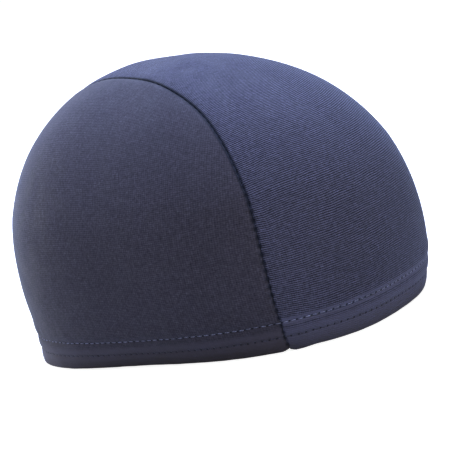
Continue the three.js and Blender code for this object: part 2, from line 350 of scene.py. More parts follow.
def over_the_top(angle, across):
    """The point of the dome at an angle over the top, a distance from the middle plane."""
    angle, across = np.broadcast_arrays(np.radians(angle), across)
    way = np.stack([0 * angle, -np.cos(angle), np.sin(angle)], -1)
    start = np.stack([across, 0 * across, 0 * across + RIM_DROP], -1)

    def inside(far):
        return outsideness(start + way * far[..., None]) < 1

    far = halve(np.zeros(angle.shape), np.full(angle.shape, 2 * DOME_LENGTH), inside)
    return start + way * far[..., None]


def level_point(height, azimuth):
    """The point of the outer face at a height above the ground."""
    height, azimuth = np.broadcast_arrays(height, azimuth)
    low, high = np.full(height.shape, -60.0), np.full(height.shape, 60.0)
    latitude = halve(low, high, lambda middle: dome_point(middle, azimuth)[..., 2] < height)
    return dome_point(latitude, azimuth)


def seam_point(angle):
    """A point of the left seam, an angle over the top in degrees."""
    share = table_curve(SEAM_TABLE[:, 0], SEAM_TABLE[:, 1], angle)
    return over_the_top(angle, HALF_WIDTH * share)


def smooth(low, high, value):
    """Eases from 0 at low to 1 at high."""
    t = np.clip((value - low) / (high - low), 0, 1)
    return t * t * (3 - 2 * t)


def running(points):
    """Length along a line of points, from its first."""
    return np.concatenate([[0], np.cumsum(np.linalg.norm(np.diff(points, axis=0), axis=1))])


# The seam on the wearer's left, from rim to rim over the top.
BROW_RIM_ANGLE = float(halve(-45, 45, lambda a: seam_point(a)[..., 2] < 0))
BACK_RIM_ANGLE = float(halve(135, 225, lambda a: seam_point(a)[..., 2] > 0))
SEAM_ANGLES = np.linspace(BROW_RIM_ANGLE, BACK_RIM_ANGLE, 1201)
SEAM_RUNS = running(seam_point(SEAM_ANGLES))
SEAM_HEIGHTS = seam_point(SEAM_ANGLES)[:, 2]
SEAM_LENGTH = SEAM_RUNS[-1]
SEAM_MIDDLE = int(np.argmax(SEAM_HEIGHTS))


def seam_angle(run):
    return np.interp(run, SEAM_RUNS, SEAM_ANGLES)


def seam_height(run):
    return np.interp(run, SEAM_RUNS, SEAM_HEIGHTS)


def seam_run_at(height, at_back):
    """Length along the seam to where it crosses a height, at the brow or at the back."""
    if at_back:
        return np.interp(-height, -SEAM_HEIGHTS[SEAM_MIDDLE:], SEAM_RUNS[SEAM_MIDDLE:])
    return np.interp(height, SEAM_HEIGHTS[: SEAM_MIDDLE + 1], SEAM_RUNS[: SEAM_MIDDLE + 1])


def seam_frame(run):
    """Place, run direction, way out and way to the side panel at lengths along the seam."""
    run = np.asarray(run, float)
    place = seam_point(seam_angle(run))
    small = 0.0005
    ahead = seam_point(seam_angle(np.minimum(run + small, SEAM_LENGTH)))
    behind = seam_point(seam_angle(np.maximum(run - small, 0)))
    along = unit(ahead - behind)
    outward = outward_at(place)
    return place, along, outward, unit(np.cross(along, outward))


def beside_seam(run, distance):
    """Points of the dome beside the seam, toward the side panel if distance is above 0."""
    place, _, outward, aside = seam_frame(run)
    level = np.stack([-outward[..., 1], outward[..., 0], 0 * outward[..., 2]], -1)
    turn = np.where(np.asarray(run) < SEAM_LENGTH / 2, 1.0, -1.0)[..., None]
    level = unit(level) * turn
    upright = smooth(HEM_WIDTH, SQUARE_TO_SEAM_FROM, place[..., 2])[..., None]
    way = unit(level * (1 - upright) + aside * upright)
    return on_dome(place + way * np.asarray(distance)[..., None])


# Length around the hem, measured at one height, from the middle of the brow.
HEM_AZIMUTHS = np.linspace(-math.pi, math.pi, 2881)
HEM_RUNS = running(level_point(MEASURED_AT, HEM_AZIMUTHS))
HEM_RUNS = HEM_RUNS - HEM_RUNS[len(HEM_RUNS) // 2]
HEM_GIRTH = HEM_RUNS[-1] - HEM_RUNS[0]


def hem_run_at(azimuth):
    wrapped = (azimuth + math.pi) % (2 * math.pi) - math.pi
    return np.interp(wrapped, HEM_AZIMUTHS, HEM_RUNS)


def hem_run(points):
    return hem_run_at(direction_of(points)[1])


def azimuths_beside_seam(heights, distances, at_back):
    """Azimuths at the seam's ends in the hem: a row of distances from it for each height,
    toward the side panel if above 0. At the brow its last bit flicks toward the middle."""
    heights = np.reshape(heights, (-1, 1))
    flick = 0 if at_back else SEAM_FLICK * np.clip(1 - heights / FLICK_HEIGHT, 0, 1) ** 1.5
    azimuth = direction_of(seam_point(seam_angle(seam_run_at(heights, at_back))))[1]
    step = np.array([0, 1e-3])
    pair = level_point(heights, azimuth + step)
    per_metre = step[1] / np.linalg.norm(pair[:, 1] - pair[:, 0], axis=1, keepdims=True)
    turn = -1 if at_back else 1
    return azimuth + turn * (np.reshape(distances, (1, -1)) - flick) * per_metre


def hem_azimuth(run):
    return np.interp(run, HEM_RUNS, HEM_AZIMUTHS)


def wander(run, length, seed):
    """Smooth seeded noise from -1 to 1 along a run, with waves about as long as length."""
    draw = np.random.default_rng(seed)
    total = 0 * run
    for stretch in (0.7, 1.0, 1.6, 2.3):
        phase = draw.uniform(0, 2 * math.pi)
        waves = max(1, round(HEM_GIRTH / (length * stretch)))
        total = total + np.sin(2 * math.pi * waves * run / HEM_GIRTH + phase)
    return total / 2.4


# Cloth.


def cap_settings():
    return bpy.context.scene.skull_cap


def relief(height, run):
    """How far the cloth stands out at the hem: drawn in at each row of stitches, puffed up
    between the rows and just above them."""
    sizes = cap_settings().cloth
    lively = 1 + 0.35 * wander(run, 0.011, 5)
    total = 0 * height
    for row in ROWS_OF_STITCHES:
        total = total - sizes.pucker * np.exp(-(((height - row) / ROW_WIDTH) ** 2)) * lively
    for middle, wide, share in HEM_RIDGES:
        rise = share * sizes.pucker * (1 + 0.4 * wander(run, 0.009, 11 + int(middle * 1e4)))
        total = total + rise * np.exp(-(((height - middle) / wide) ** 2))
    return total


def rim_lift(azimuth, run, to_seam):
    """Lifts the folded edge: slow waves around the cap, and a notch at each seam."""
    turn = np.degrees((azimuth + math.pi) % (2 * math.pi) - math.pi)
    waves = table_curve(RIM_LIFT_TABLE[:, 0], RIM_LIFT_TABLE[:, 1], turn) / 1000
    waves = np.maximum(0, waves + 0.00005 * (1 + wander(run, 0.012, 3)))
    return waves + NOTCH_DEPTH * np.clip(1 - to_seam / NOTCH_WIDTH, 0, 1)


def hem_profile():
    """Rows of the hem from the raw edge inside, round the fold, to the top of the hem
    outside: height and depth of the cloth's face, then of its back."""
    cloth = cap_settings().cloth.thickness
    fold = HEM_THICKNESS / 2
    slack = fold - cloth
    rows = [(z, 2 * fold, z, fold + slack) for z in np.linspace(HEM_WIDTH, FOLD_TOP, 11)]
    for turn in np.radians(np.linspace(0, 180, 9)):
        face_height, back_height = fold * (1 - math.sin(turn)), fold - slack * math.sin(turn)
        face_depth = fold + fold * math.cos(turn)
        rows.append((face_height, face_depth, back_height, fold + slack * math.cos(turn)))
    rows += [(z, 0.0, z, cloth) for z in np.linspace(FOLD_TOP, HEM_WIDTH, 21)]
    return np.array(rows)


def roll_of_edge():
    """Distances from the seam line across the band beside it, and the share of the cloth's
    thickness by which its face turns down there."""
    sizes = cap_settings().cloth
    turn = np.radians(np.array([0, 30, 60, 90]))
    distance = sizes.seam_gap + sizes.edge_roll * (1 - np.cos(turn))
    drop = sizes.edge_roll * (1 - np.sin(turn)) / sizes.thickness
    further = np.array([*BAND_STEPS, SEAM_BAND])
    return np.append(distance, further), np.append(drop, 0 * further)


def stitch_wave(run):
    """1 at each stitch of the seam and 0 half way between two."""
    return 0.5 + 0.5 * np.cos(2 * math.pi * run / cap_settings().cloth.seam_pitch)


def drawn_tight(distance, run=0.0):
    """Distances from the seam line. The two edges all but touch in the hem, and low on the
    brow half way between two stitches."""
    in_hem = 1 - smooth(*TIGHT_HEIGHTS, seam_height(run))
    between = 0.9 * (1 - smooth(*DOTTED_RUNS, run)) * (1 - stitch_wave(run))
    closing = (cap_settings().cloth.seam_gap - HEM_SEAM_GAP) * np.maximum(in_hem, between)
    return distance - closing * (1 - distance / SEAM_BAND)


def seam_dip(distance, run):
    """How far the cloth is drawn in beside the seam, most of all at each of its stitches."""
    sizes = cap_settings().cloth
    near_brow = 1 - smooth(*DEEP_DIP_RUNS, run)
    pull = 1 + (0.12 + 0.5 * near_brow) * np.cos(2 * math.pi * run / sizes.seam_pitch)
    return sizes.seam_dip * np.exp(-((distance / DIP_WIDTH) ** 2)) * pull


def hem_rows(azimuths_at, to_seam, seam_side, roll):
    """Faces and backs of the hem's rows. azimuths_at(heights) gives a row of azimuths for
    each height."""
    face_z, face_depth, back_z, back_depth = hem_profile().T[..., None]
    inside = smooth(*INSIDE_DEPTHS, face_depth)
    shells = []
    for z, depth in ((face_z, face_depth), (back_z, back_depth)):
        azimuth = azimuths_at(z)
        run = hem_run_at(azimuth)
        lift = rim_lift(azimuth, run, to_seam) * (1 - z / HEM_WIDTH)
        place = level_point(z + lift, azimuth)
        raised = relief(z + 0 * run, run)
        drawn = -raised * (1 - inside) + INSIDE_PUCKER * np.minimum(raised, 0) * inside
        if z is back_z:
            inner, outer = np.maximum(drawn, -FOLD_PLAY), np.minimum(drawn, FOLD_PLAY)
            drawn = np.where(inside > 0.5, inner, outer)
        dip = seam_dip(to_seam, seam_side) * HEM_DIP_SHARE * (1 - inside)
        shells.append(place + depth_direction(place) * (depth + drawn + dip)[..., None])
    faces, backs = shells
    return faces + (backs - faces) * np.asarray(roll)[..., None], backs


def sheet_rows(points, to_seam, run_of_seam, rolls):
    """Face and back of the single cloth above the hem."""
    raised = relief(points[..., 2], hem_run(points)) * smooth(*RELIEF_FADE, points[..., 2])
    drawn = seam_dip(to_seam, run_of_seam) - raised
    way = depth_direction(points)
    faces = points + way * drawn[..., None]
    backs = points + way * (drawn + cap_settings().cloth.thickness)[..., None]
    return faces + (backs - faces) * rolls[..., None], backs


class Patch:
    """A grid of cloth: face and back points, weave coordinates in metres, hem coordinates
    (length around, height up the outside) and distance from and length along the seam."""

    FIELDS = ("face", "back", "weave", "hem", "seam")

    def __init__(self, face, back, weave, hem, seam):
        self.face, self.back, self.weave, self.hem, self.seam = face, back, weave, hem, seam
        self.rows, self.columns = face.shape[:2]

    def flat(self, name):
        return getattr(self, name).reshape(self.rows * self.columns, -1)


def cloth_piece(name, patches, mirrored):
    """One closed shell from patches that share their edges."""
    bm = bmesh.new()
    place = bm.verts.layers.int.new("place")
    tables = {k: np.concatenate([p.flat(k) for p in patches]) for k in Patch.FIELDS}
    first = 0
    for patch in patches:
        made = bmesh.ops.create_grid(
            bm, x_segments=patch.columns - 1, y_segments=patch.rows - 1, size=1.0
        )
        for index, vert in enumerate(made["verts"]):
            vert[place] = first + index
            vert.co = tables["face"][first + index]
        first += patch.rows * patch.columns
    bmesh.ops.remove_doubles(bm, verts=bm.verts[:], dist=WELD)
    bmesh.ops.dissolve_degenerate(bm, edges=bm.edges[:], dist=WELD / 2)
    outer = set(bm.faces)
    made = bmesh.ops.solidify(bm, geom=bm.faces[:], thickness=0.001)
    for element in made["geom"]:
        if isinstance(element, bmesh.types.BMVert):
            element.co = tables["back"][element[place]]
    weave = bm.loops.layers.uv.new("weave")
    hem = bm.loops.layers.uv.new("hem")
    seam = bm.loops.layers.uv.new("seam")
    inner_shift = np.array([0.0, 1.0])
    for face in bm.faces:
        face.smooth = True
        is_outer = face in outer
        for loop in face.loops:
            index = loop.vert[place]
            loop[weave].uv = tables["weave"][index]
            loop[hem].uv = tables["hem"][index] + (0 if is_outer else inner_shift)
            loop[seam].uv = tables["seam"][index] + (0 if is_outer else inner_shift)
    return piece_from(bm, name, mirrored)


def piece_from(bm, name, mirrored=False):
    """A shown piece at the origin. The dome's middle is moved to the middle of the frame."""
    if mirrored:
        bmesh.ops.scale(bm, vec=(-1, 1, 1), verts=bm.verts[:])
        bmesh.ops.reverse_faces(bm, faces=bm.faces[:])
    bmesh.ops.translate(bm, verts=bm.verts[:], vec=(0, CAP_SHIFT, 0))
    mesh = bpy.data.meshes.new(name)
    bm.to_mesh(mesh)
    bm.free()
    piece = bpy.data.objects.new(name, mesh)
    bpy.context.scene.collection.objects.link(piece)
    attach(piece, "root")
    return piece


def middle_of_dome():
    """How far the dome's middle lies from its plain centre, along the cap."""
    azimuth = np.linspace(-math.pi, math.pi, 181)
    latitude = np.linspace(-45, 90, 271)
    points = dome_point(latitude[:, None], azimuth[None, :])
    along = points[..., 1][points[..., 2] >= 0]
    return -(along.min() + along.max()) / 2


CAP_SHIFT = float(middle_of_dome())


def centre_patch():
    """The centre panel: one grid from the raw edge at the brow to the raw edge at the nape."""
    distances, drops = (values[:-1] for values in roll_of_edge())
    strips, rows = CENTRE_STRIPS, CENTRE_ROWS
    shares = np.linspace(-1, 1, strips + 1)
    edge = len(distances)
    to_edge = np.concatenate([distances, np.full(strips + 1, SEAM_BAND), distances[::-1]])
    roll = np.concatenate([drops, np.zeros(strips + 1), drops[::-1]])

    def level_azimuths(at_back):
        def azimuths(z):
            band = azimuths_beside_seam(z, -drawn_tight(distances), at_back)
            half = azimuths_beside_seam(z, [-SEAM_BAND], at_back)
            if at_back:
                band, half = math.pi - band, math.pi - half
            line = np.concatenate([-band, shares * half, band[:, ::-1]], 1)
            return math.pi - line if at_back else line

        return azimuths

    # Single cloth between the two hem lines.
    first, last = (float(seam_run_at(HEM_WIDTH, back)) for back in (False, True))
    runs = np.linspace(first, last, rows + 1)
    band = [beside_seam(runs, -drawn_tight(d, runs)) for d in distances]
    inner = beside_seam(runs, np.full(runs.shape, -SEAM_BAND))
    inner_angle = np.degrees(np.arctan2(inner[:, 2] - RIM_DROP, -inner[:, 1]))
    inner_angle = np.where(inner_angle < -90, inner_angle + 360, inner_angle)
    centre_first = float(halve(-45, 45, lambda a: over_the_top(a, 0.0)[..., 2] < HEM_WIDTH))
    centre_last = float(halve(135, 225, lambda a: over_the_top(a, 0.0)[..., 2] > HEM_WIDTH))
    middle_angles = np.linspace(centre_first, centre_last, 601)
    middle_runs = running(over_the_top(middle_angles, 0.0))
    even = np.interp(np.linspace(0, middle_runs[-1], rows + 1), middle_runs, middle_angles)
    bow = np.abs(shares) ** 2
    angle = even[:, None] * (1 - bow) + inner_angle[:, None] * bow
    field = over_the_top(angle, shares * inner[:, :1])
    points = np.concatenate([np.stack(band, 1), field, np.stack(band[::-1], 1)], 1)
    points[:, :edge] *= MIRRORED
    to_seam = np.broadcast_to(to_edge, points.shape[:2]).copy()
    across_field = (1 - np.abs(shares)) * np.abs(inner[:, :1])
    to_seam[:, edge : edge + strips + 1] = SEAM_BAND + across_field
    seam_length = np.broadcast_to(runs[:, None], points.shape[:2])
    rolls = np.broadcast_to(roll, points.shape[:2])
    face, back = sheet_rows(points, to_seam, seam_length, rolls)

    hems = []
    for at_back in (False, True):
        azimuths = level_azimuths(at_back)
        sample = level_point(HALF_UP_HEM, azimuths(HALF_UP_HEM))[0]
        gap = np.linalg.norm(sample - sample[[edge] * len(sample)], axis=1)
        other = np.linalg.norm(sample - sample[[-1 - edge] * len(sample)], axis=1)
        near = SEAM_BAND + np.minimum(gap, other)
        near = np.where(to_edge < SEAM_BAND, to_edge, near)
        side = seam_run_at(HALF_UP_HEM, at_back)
        hem_faces, hem_backs = hem_rows(azimuths, near, side, roll)
        if at_back:
            hem_faces, hem_backs = hem_faces[::-1], hem_backs[::-1]
        hems.append((hem_faces, hem_backs, near))
    profile = hem_profile()
    brow, nape = hems
    face = np.concatenate([brow[0][:-1], face, nape[0][1:]])
    back = np.concatenate([brow[1][:-1], back, nape[1][1:]])
    near_brow, near_nape = (np.tile(near, (len(profile) - 1, 1)) for near in (brow[2], nape[2]))
    to_seam = np.concatenate([near_brow, to_seam, near_nape])
    brow_side = side_runs(profile[:-1], False)[:, None]
    nape_side = side_runs(profile[:-1], True)[::-1][:, None]
    seam_length = np.concatenate(
        [
            np.broadcast_to(brow_side, near_brow.shape),
            seam_length,
            np.broadcast_to(nape_side, near_nape.shape),
        ]
    )
    steps = np.linalg.norm(np.diff(face, axis=1), axis=2)
    middle = len(to_edge) // 2
    widths = np.concatenate([np.zeros((len(face), 1)), np.cumsum(steps, 1)], 1)
    widths = widths - widths[:, middle : middle + 1]
    lengths = running(face[:, middle])
    weave = np.stack([widths, np.broadcast_to(lengths[:, None], widths.shape)], -1)
    low = outside_height(profile[:-1])
    heights = np.concatenate([low, np.full(rows + 1, np.nan), low[::-1]])
    heights = cloth_heights(face, heights[:, None])
    around = hem_run(face)
    back_wrap = (face[..., 1] > 0) & (face[..., 0] < 0)
    around = np.where(back_wrap, around + HEM_GIRTH, around)
    hem = np.stack([around, heights], -1)
    return Patch(face, back, weave, hem, np.stack([to_seam, seam_length], -1))


def outside_height(profile):
    """Height up the outside of the hem; the turned-up cloth inside counts below the fold."""
    return np.where(profile[:, 1] > HEM_THICKNESS / 2, -profile[:, 0] - 0.002, profile[:, 0])


def cloth_heights(face, hem_heights):
    """Heights up the cloth: those of the hem, and each point's own where they are NaN."""
    return np.where(np.isnan(hem_heights), face[..., 2], hem_heights)


def side_runs(profile, at_back):
    return np.array([seam_run_at(z, at_back) for z in profile[:, 0]])


def projected(points):
    """Flat coordinates of points of the side, as seen from the middle of the cap."""
    way = unit(points - np.array([0, 0, RIM_DROP]))
    turn = np.arccos(np.clip(way[..., 0], -1, 1))
    flat = unit(way[..., 1:] + 1e-12)
    return flat * turn[..., None]


def unprojected(flat):
    turn = np.linalg.norm(flat, axis=-1)
    share = np.sinc(turn / math.pi)
    way = np.stack([np.cos(turn), flat[..., 0] * share, flat[..., 1] * share], -1)
    return on_dome(way * 0.07 + np.array([0, 0, RIM_DROP]))


def side_patches():
    """The side panel on the wearer's left: a grid, and a band of finer strips around it
    along the seam."""
    distances, drops = roll_of_edge()
    columns, rows = SIDE_COLUMNS, SIDE_ROWS
    profile = hem_profile()
    first, last = (float(seam_run_at(HEM_WIDTH, back)) for back in (False, True))
    corner_first, corner_last = (first + share * (last - first) for share in SIDE_CORNERS)
    left_runs = np.linspace(first, corner_first, rows + 1)
    right_runs = np.linspace(last, corner_last, rows + 1)
    top_runs = np.linspace(corner_first, corner_last, columns + 1)

    def beside(runs, distance):
        return beside_seam(runs, np.full(np.shape(runs), distance))

    def ends(z, distance):
        """Azimuths at a level, a distance in from the seam at brow and back."""
        return [azimuths_beside_seam(z, distance, at_back) for at_back in (False, True)]

    # Even steps around the hem line set the columns.
    start, stop = (end.item() for end in ends(HEM_WIDTH, SEAM_BAND))
    line = np.linspace(start, stop, 801)
    line_runs = running(level_point(HEM_WIDTH, line))
    even = np.linspace(0, line_runs[-1], columns + 1)
    share = np.interp(even, line_runs, np.linspace(0, 1, len(line)))

    left = projected(beside(left_runs, SEAM_BAND))
    right = projected(beside(right_runs, SEAM_BAND))
    top = projected(beside(top_runs, SEAM_BAND))
    bottom = projected(level_point(HEM_WIDTH, start + (stop - start) * share))
    left[0], right[0] = bottom[0], bottom[-1]
    u = np.linspace(0, 1, columns + 1)[None, :, None]
    v = np.linspace(0, 1, rows + 1)[:, None, None]
    flat = (1 - v) * bottom[None] + v * top[None]
    flat = flat + (1 - u) * left[:, None] + u * right[:, None]
    flat = flat - (1 - u) * (1 - v) * bottom[0] - u * (1 - v) * bottom[-1]
    flat = flat - (1 - u) * v * top[0] - u * v * top[-1]
    points = unprojected(flat)
    points[0] = level_point(HEM_WIDTH, start + (stop - start) * share)
    seam_samples = seam_point(SEAM_ANGLES[::3])
    samples = points.reshape(-1, 1, 3)
    chunks = np.array_split(samples, 12)
    nearest = [np.linalg.norm(chunk - seam_samples[None], axis=2).min(1) for chunk in chunks]
    nearest = np.concatenate(nearest).reshape(points.shape[:2])
    nearest = np.maximum(nearest, SEAM_BAND)
    nearest[-1] = nearest[:, 0] = nearest[:, -1] = SEAM_BAND
    run_rows = np.broadcast_to(left_runs[:, None], points.shape[:2])
    face, back = sheet_rows(points, nearest, run_rows, np.zeros(points.shape[:2]))

    def main_azimuths(z):
        begin, end = ends(z, SEAM_BAND)
        return begin + (end - begin) * share

    sample = level_point(HALF_UP_HEM, main_azimuths(HALF_UP_HEM))[0]
    near = SEAM_BAND + np.minimum(
        np.linalg.norm(sample - sample[0], axis=1), np.linalg.norm(sample - sample[-1], axis=1)
    )
    hem_faces, hem_backs = hem_rows(main_azimuths, near, HALF_UP_HEM, np.zeros(columns + 1))
    face = np.concatenate([hem_faces[:-1], face])
    back = np.concatenate([hem_backs[:-1], back])
    low = outside_height(profile[:-1])
    heights = np.concatenate([low, np.full(rows + 1, np.nan)])
    heights = cloth_heights(face, heights[:, None])
    hem_near = np.tile(near, (len(profile) - 1, 1))
    to_seam = np.concatenate([hem_near, nearest])
    hem_side = side_runs(profile[:-1], False)
    run_side = np.concatenate([np.broadcast_to(hem_side[:, None], hem_near.shape), run_rows])
    main = Patch(
        face,
        back,
        side_weave(face, heights),
        np.stack([hem_run(face), heights], -1),
        np.stack([to_seam, run_side], -1),
    )

    # The band follows the seam up from the brow, over the top and down to the back.
    path = np.concatenate([left_runs, top_runs[1:-1], right_runs[::-1]])
    across = distances[::-1]
    drop = drops[::-1]
    field = np.stack([beside_seam(path, drawn_tight(d, path)) for d in across])
    for column, azimuths in zip((0, -1), ends(HEM_WIDTH, drawn_tight(across))):
        field[:, column] = level_point(HEM_WIDTH, azimuths[0])
    to_band = np.broadcast_to(across[:, None], field.shape[:2])
    path_rows = np.broadcast_to(path[None], field.shape[:2])
    rolls = np.broadcast_to(drop[:, None], field.shape[:2])
    band_face, band_back = sheet_rows(field, to_band, path_rows, rolls)
    hem_ends = []
    for at_back in (False, True):

        def azimuths(z, at_back=at_back):
            return azimuths_beside_seam(z, drawn_tight(across), at_back)

        side = seam_run_at(HALF_UP_HEM, at_back)
        faces, backs = hem_rows(azimuths, across, side, drop)
        hem_ends.append((faces[:-1].transpose(1, 0, 2), backs[:-1].transpose(1, 0, 2)))
    brow, nape = hem_ends
    band_face = np.concatenate([brow[0], band_face, nape[0][:, ::-1]], 1)
    band_back = np.concatenate([brow[1], band_back, nape[1][:, ::-1]], 1)
    # The band's first row is the grid's own edge.
    edge_face = np.concatenate([face[:, 0], face[-1, 1:-1], face[::-1, -1]])
    edge_back = np.concatenate([back[:, 0], back[-1, 1:-1], back[::-1, -1]])
    band_face[0], band_back[0] = edge_face, edge_back
    band_heights = np.concatenate([low, np.full(len(path), np.nan), low[::-1]])
    band_heights = cloth_heights(band_face, band_heights[None])
    run_path = np.concatenate([hem_side, path, side_runs(profile[:-1], True)[::-1]])
    band_seam = np.broadcast_arrays(across[:, None], run_path[None])
    band = Patch(
        band_face,
        band_back,
        side_weave(band_face, band_heights),
        np.stack([hem_run(band_face), band_heights], -1),
        np.stack(band_seam, -1),
    )
    return [main, band]


def side_weave(face, heights):
    """Cloth coordinates of the side panel; the turned-up cloth goes on below the fold."""
    flat = projected(face) * SIDE_RADIUS
    turned = np.minimum(heights, 0) * 2
    return np.stack([flat[..., 0], flat[..., 1] + turned], -1)


# Threads.


def thread_template(sides=7, rings=5):
    """A short round-ended length of thread along X, from -0.5 to 0.5, one thick."""
    bm = bmesh.new()
    bmesh.ops.create_uvsphere(bm, u_segments=sides, v_segments=rings, radius=0.5)
    quarter = Matrix.Rotation(math.pi / 2, 3, "Y")
    bmesh.ops.rotate(bm, verts=bm.verts[:], cent=(0, 0, 0), matrix=quarter)
    bm.verts.ensure_lookup_table()
    points = np.array([v.co[:] for v in bm.verts])
    faces = [[v.index for v in f.verts] for f in bm.faces]
    bm.free()
    return points, faces


def thread_pieces(name, starts, ends, outward, width, height, bow=0.0):
    """Many short threads as one mesh: each runs from its start to its end, flattened
    against the cloth, and bows out by bow times its length."""
    points, faces = thread_template()
    middle, along = (starts + ends) / 2, ends - starts
    length = np.linalg.norm(along, axis=1, keepdims=True)
    along = along / length
    side = unit(np.cross(outward, along))
    up = np.cross(along, side)
    reach = np.clip(points[:, 0], -0.5, 0.5)
    blunt, pointed = (np.sqrt(np.clip(1 - (2 * reach) ** n, 0.02, 1)) for n in (4, 2))
    fat = blunt / pointed
    fat = np.where(np.abs(reach) > 0.49, 1, fat)
    rise = points[:, 2] * fat * height + (1 - (2 * reach) ** 2) * bow
    verts = (
        middle[:, None]
        + along[:, None] * (reach[None, :, None] * length[:, None])
        + side[:, None] * (points[:, 1] * fat * width)[None, :, None]
        + up[:, None] * rise[None, :, None]
    )
    count = len(points)
    flat_faces = [[v + k * count for v in f] for k in range(len(starts)) for f in faces]
    mesh = bpy.data.meshes.new(name + "_joined")
    mesh.from_pydata(verts.reshape(-1, 3).tolist(), [], flat_faces)
    bm = bmesh.new()
    bm.from_mesh(mesh)
    bpy.data.meshes.remove(mesh)
    for face in bm.faces:
        face.smooth = True
    return piece_from(bm, name)


def hem_stations(pitch):
    """Middles of the stitches around the hem."""
    count = round(HEM_GIRTH / pitch)
    return (np.arange(count) + 0.5) * HEM_GIRTH / count + HEM_RUNS[0]


def on_hem(run, height, depth):
    """Points at a length around the hem and a height, sunk into the cloth."""
    azimuth = hem_azimuth(run)
    place = level_point(height, azimuth)
    drawn = -relief(np.full(np.shape(run), height), hem_run(place))
    drawn = drawn * (depth < HEM_THICKNESS / 2)
    return place + depth_direction(place) * (drawn + depth)[..., None], -depth_direction(place)


# Materials.


def new_group(name, inputs, outputs):
    tree = bpy.data.node_groups.new(name, "ShaderNodeTree")
    for label, kind, value in inputs:
        socket = tree.interface.new_socket(name=label, in_out="INPUT", socket_type=kind)
        if value is not None:
            socket.default_value = value
    for label, kind in outputs:
        tree.interface.new_socket(name=label, in_out="OUTPUT", socket_type=kind)
    return tree, tree.nodes.new("NodeGroupInput"), tree.nodes.new("NodeGroupOutput")


def math_node(tree, operation, first, second=None, third=None, clamp=False):
    node = tree.nodes.new("ShaderNodeMath")
    node.operation = operation
    node.use_clamp = clamp
    for socket, value in zip(node.inputs, (first, second, third)):
        put(tree, socket, value)
    return node.outputs[0]


def product(tree, first, second):
    return math_node(tree, "MULTIPLY", first, second)


def difference(tree, first, second):
    return math_node(tree, "SUBTRACT", first, second)


def put(tree, socket, value):
    """Sets a socket, or links it if the value is another socket."""
    if value is None:
        return
    if isinstance(value, bpy.types.NodeSocket):
        tree.links.new(value, socket)
    else:
        socket.default_value = value


def noise_node(tree, vector, scale, detail=2.0, rough=0.5):
    node = tree.nodes.new("ShaderNodeTexNoise")
    put(tree, node.inputs["Vector"], vector)
    node.inputs["Scale"].default_value = scale
    node.inputs["Detail"].default_value = detail
    node.inputs["Roughness"].default_value = rough
    return node.outputs["Fac"]


def map_range(tree, value, low, high, to_low=0.0, to_high=1.0, soft=False):
    node = tree.nodes.new("ShaderNodeMapRange")
    node.interpolation_type = "SMOOTHSTEP" if soft else "LINEAR"
    for socket, given in zip(node.inputs, (value, low, high, to_low, to_high)):
        put(tree, socket, given)
    return node.outputs[0]


def mix_colour(tree, share, first, second, blend="MIX"):
    node = tree.nodes.new("ShaderNodeMix")
    node.data_type = "RGBA"
    node.blend_type = blend
    put(tree, node.inputs[0], share)
    put(tree, node.inputs[6], first)
    put(tree, node.inputs[7], second)
    return node.outputs[2]


def split(tree, vector):
    node = tree.nodes.new("ShaderNodeSeparateXYZ")
    put(tree, node.inputs[0], vector)
    return node.outputs


def sine(tree, value, length):
    """A wave of a given length in metres, from 0 to 1."""
    turns = math_node(tree, "DIVIDE", value, length)
    wave = math_node(tree, "SINE", product(tree, turns, 2 * math.pi))
    return math_node(tree, "MULTIPLY_ADD", wave, 0.5, 0.5)


def knit_group():
    """Ribs, grain and single stitches of the knit, on cloth coordinates in metres."""
    tree, given, result = new_group(
        "knit",
        [
            ("Cloth", "NodeSocketVector", None),
            ("Rib Pitch", "NodeSocketFloat", 0.0013),
            ("Grain Pitch", "NodeSocketFloat", 0.0011),
            ("Rib Share", "NodeSocketFloat", 0.6),
            ("Grain Share", "NodeSocketFloat", 0.4),
        ],
        [("Height", "NodeSocketFloat"), ("Shade", "NodeSocketFloat")],
    )
    cloth = given.outputs["Cloth"]
    parts = split(tree, cloth)
    drift = noise_node(tree, cloth, 55.0, 2.0)
    drift = math_node(tree, "MULTIPLY_ADD", drift, 0.0016, -0.0008)
    across = math_node(tree, "ADD", parts[0], drift)
    along = math_node(tree, "ADD", parts[1], drift)
    rib = sine(tree, along, given.outputs["Rib Pitch"])
    grain = sine(tree, across, given.outputs["Grain Pitch"])
    loose = difference(tree, noise_node(tree, cloth, 900.0, 3.0, 0.7), 0.5)
    uneven = map_range(tree, noise_node(tree, cloth, 210.0, 2.0), 0.3, 0.7, 0.5, 1.0)
    ribs = product(tree, difference(tree, rib, 0.5), given.outputs["Rib Share"])
    grains = product(tree, difference(tree, grain, 0.5), given.outputs["Grain Share"])
    total = product(tree, math_node(tree, "ADD", ribs, grains), uneven)
    height = math_node(tree, "MULTIPLY_ADD", loose, 0.55, total)
    tree.links.new(height, result.inputs["Height"])
    tree.links.new(math_node(tree, "MULTIPLY_ADD", loose, 0.8, total), result.inputs["Shade"])
    return tree


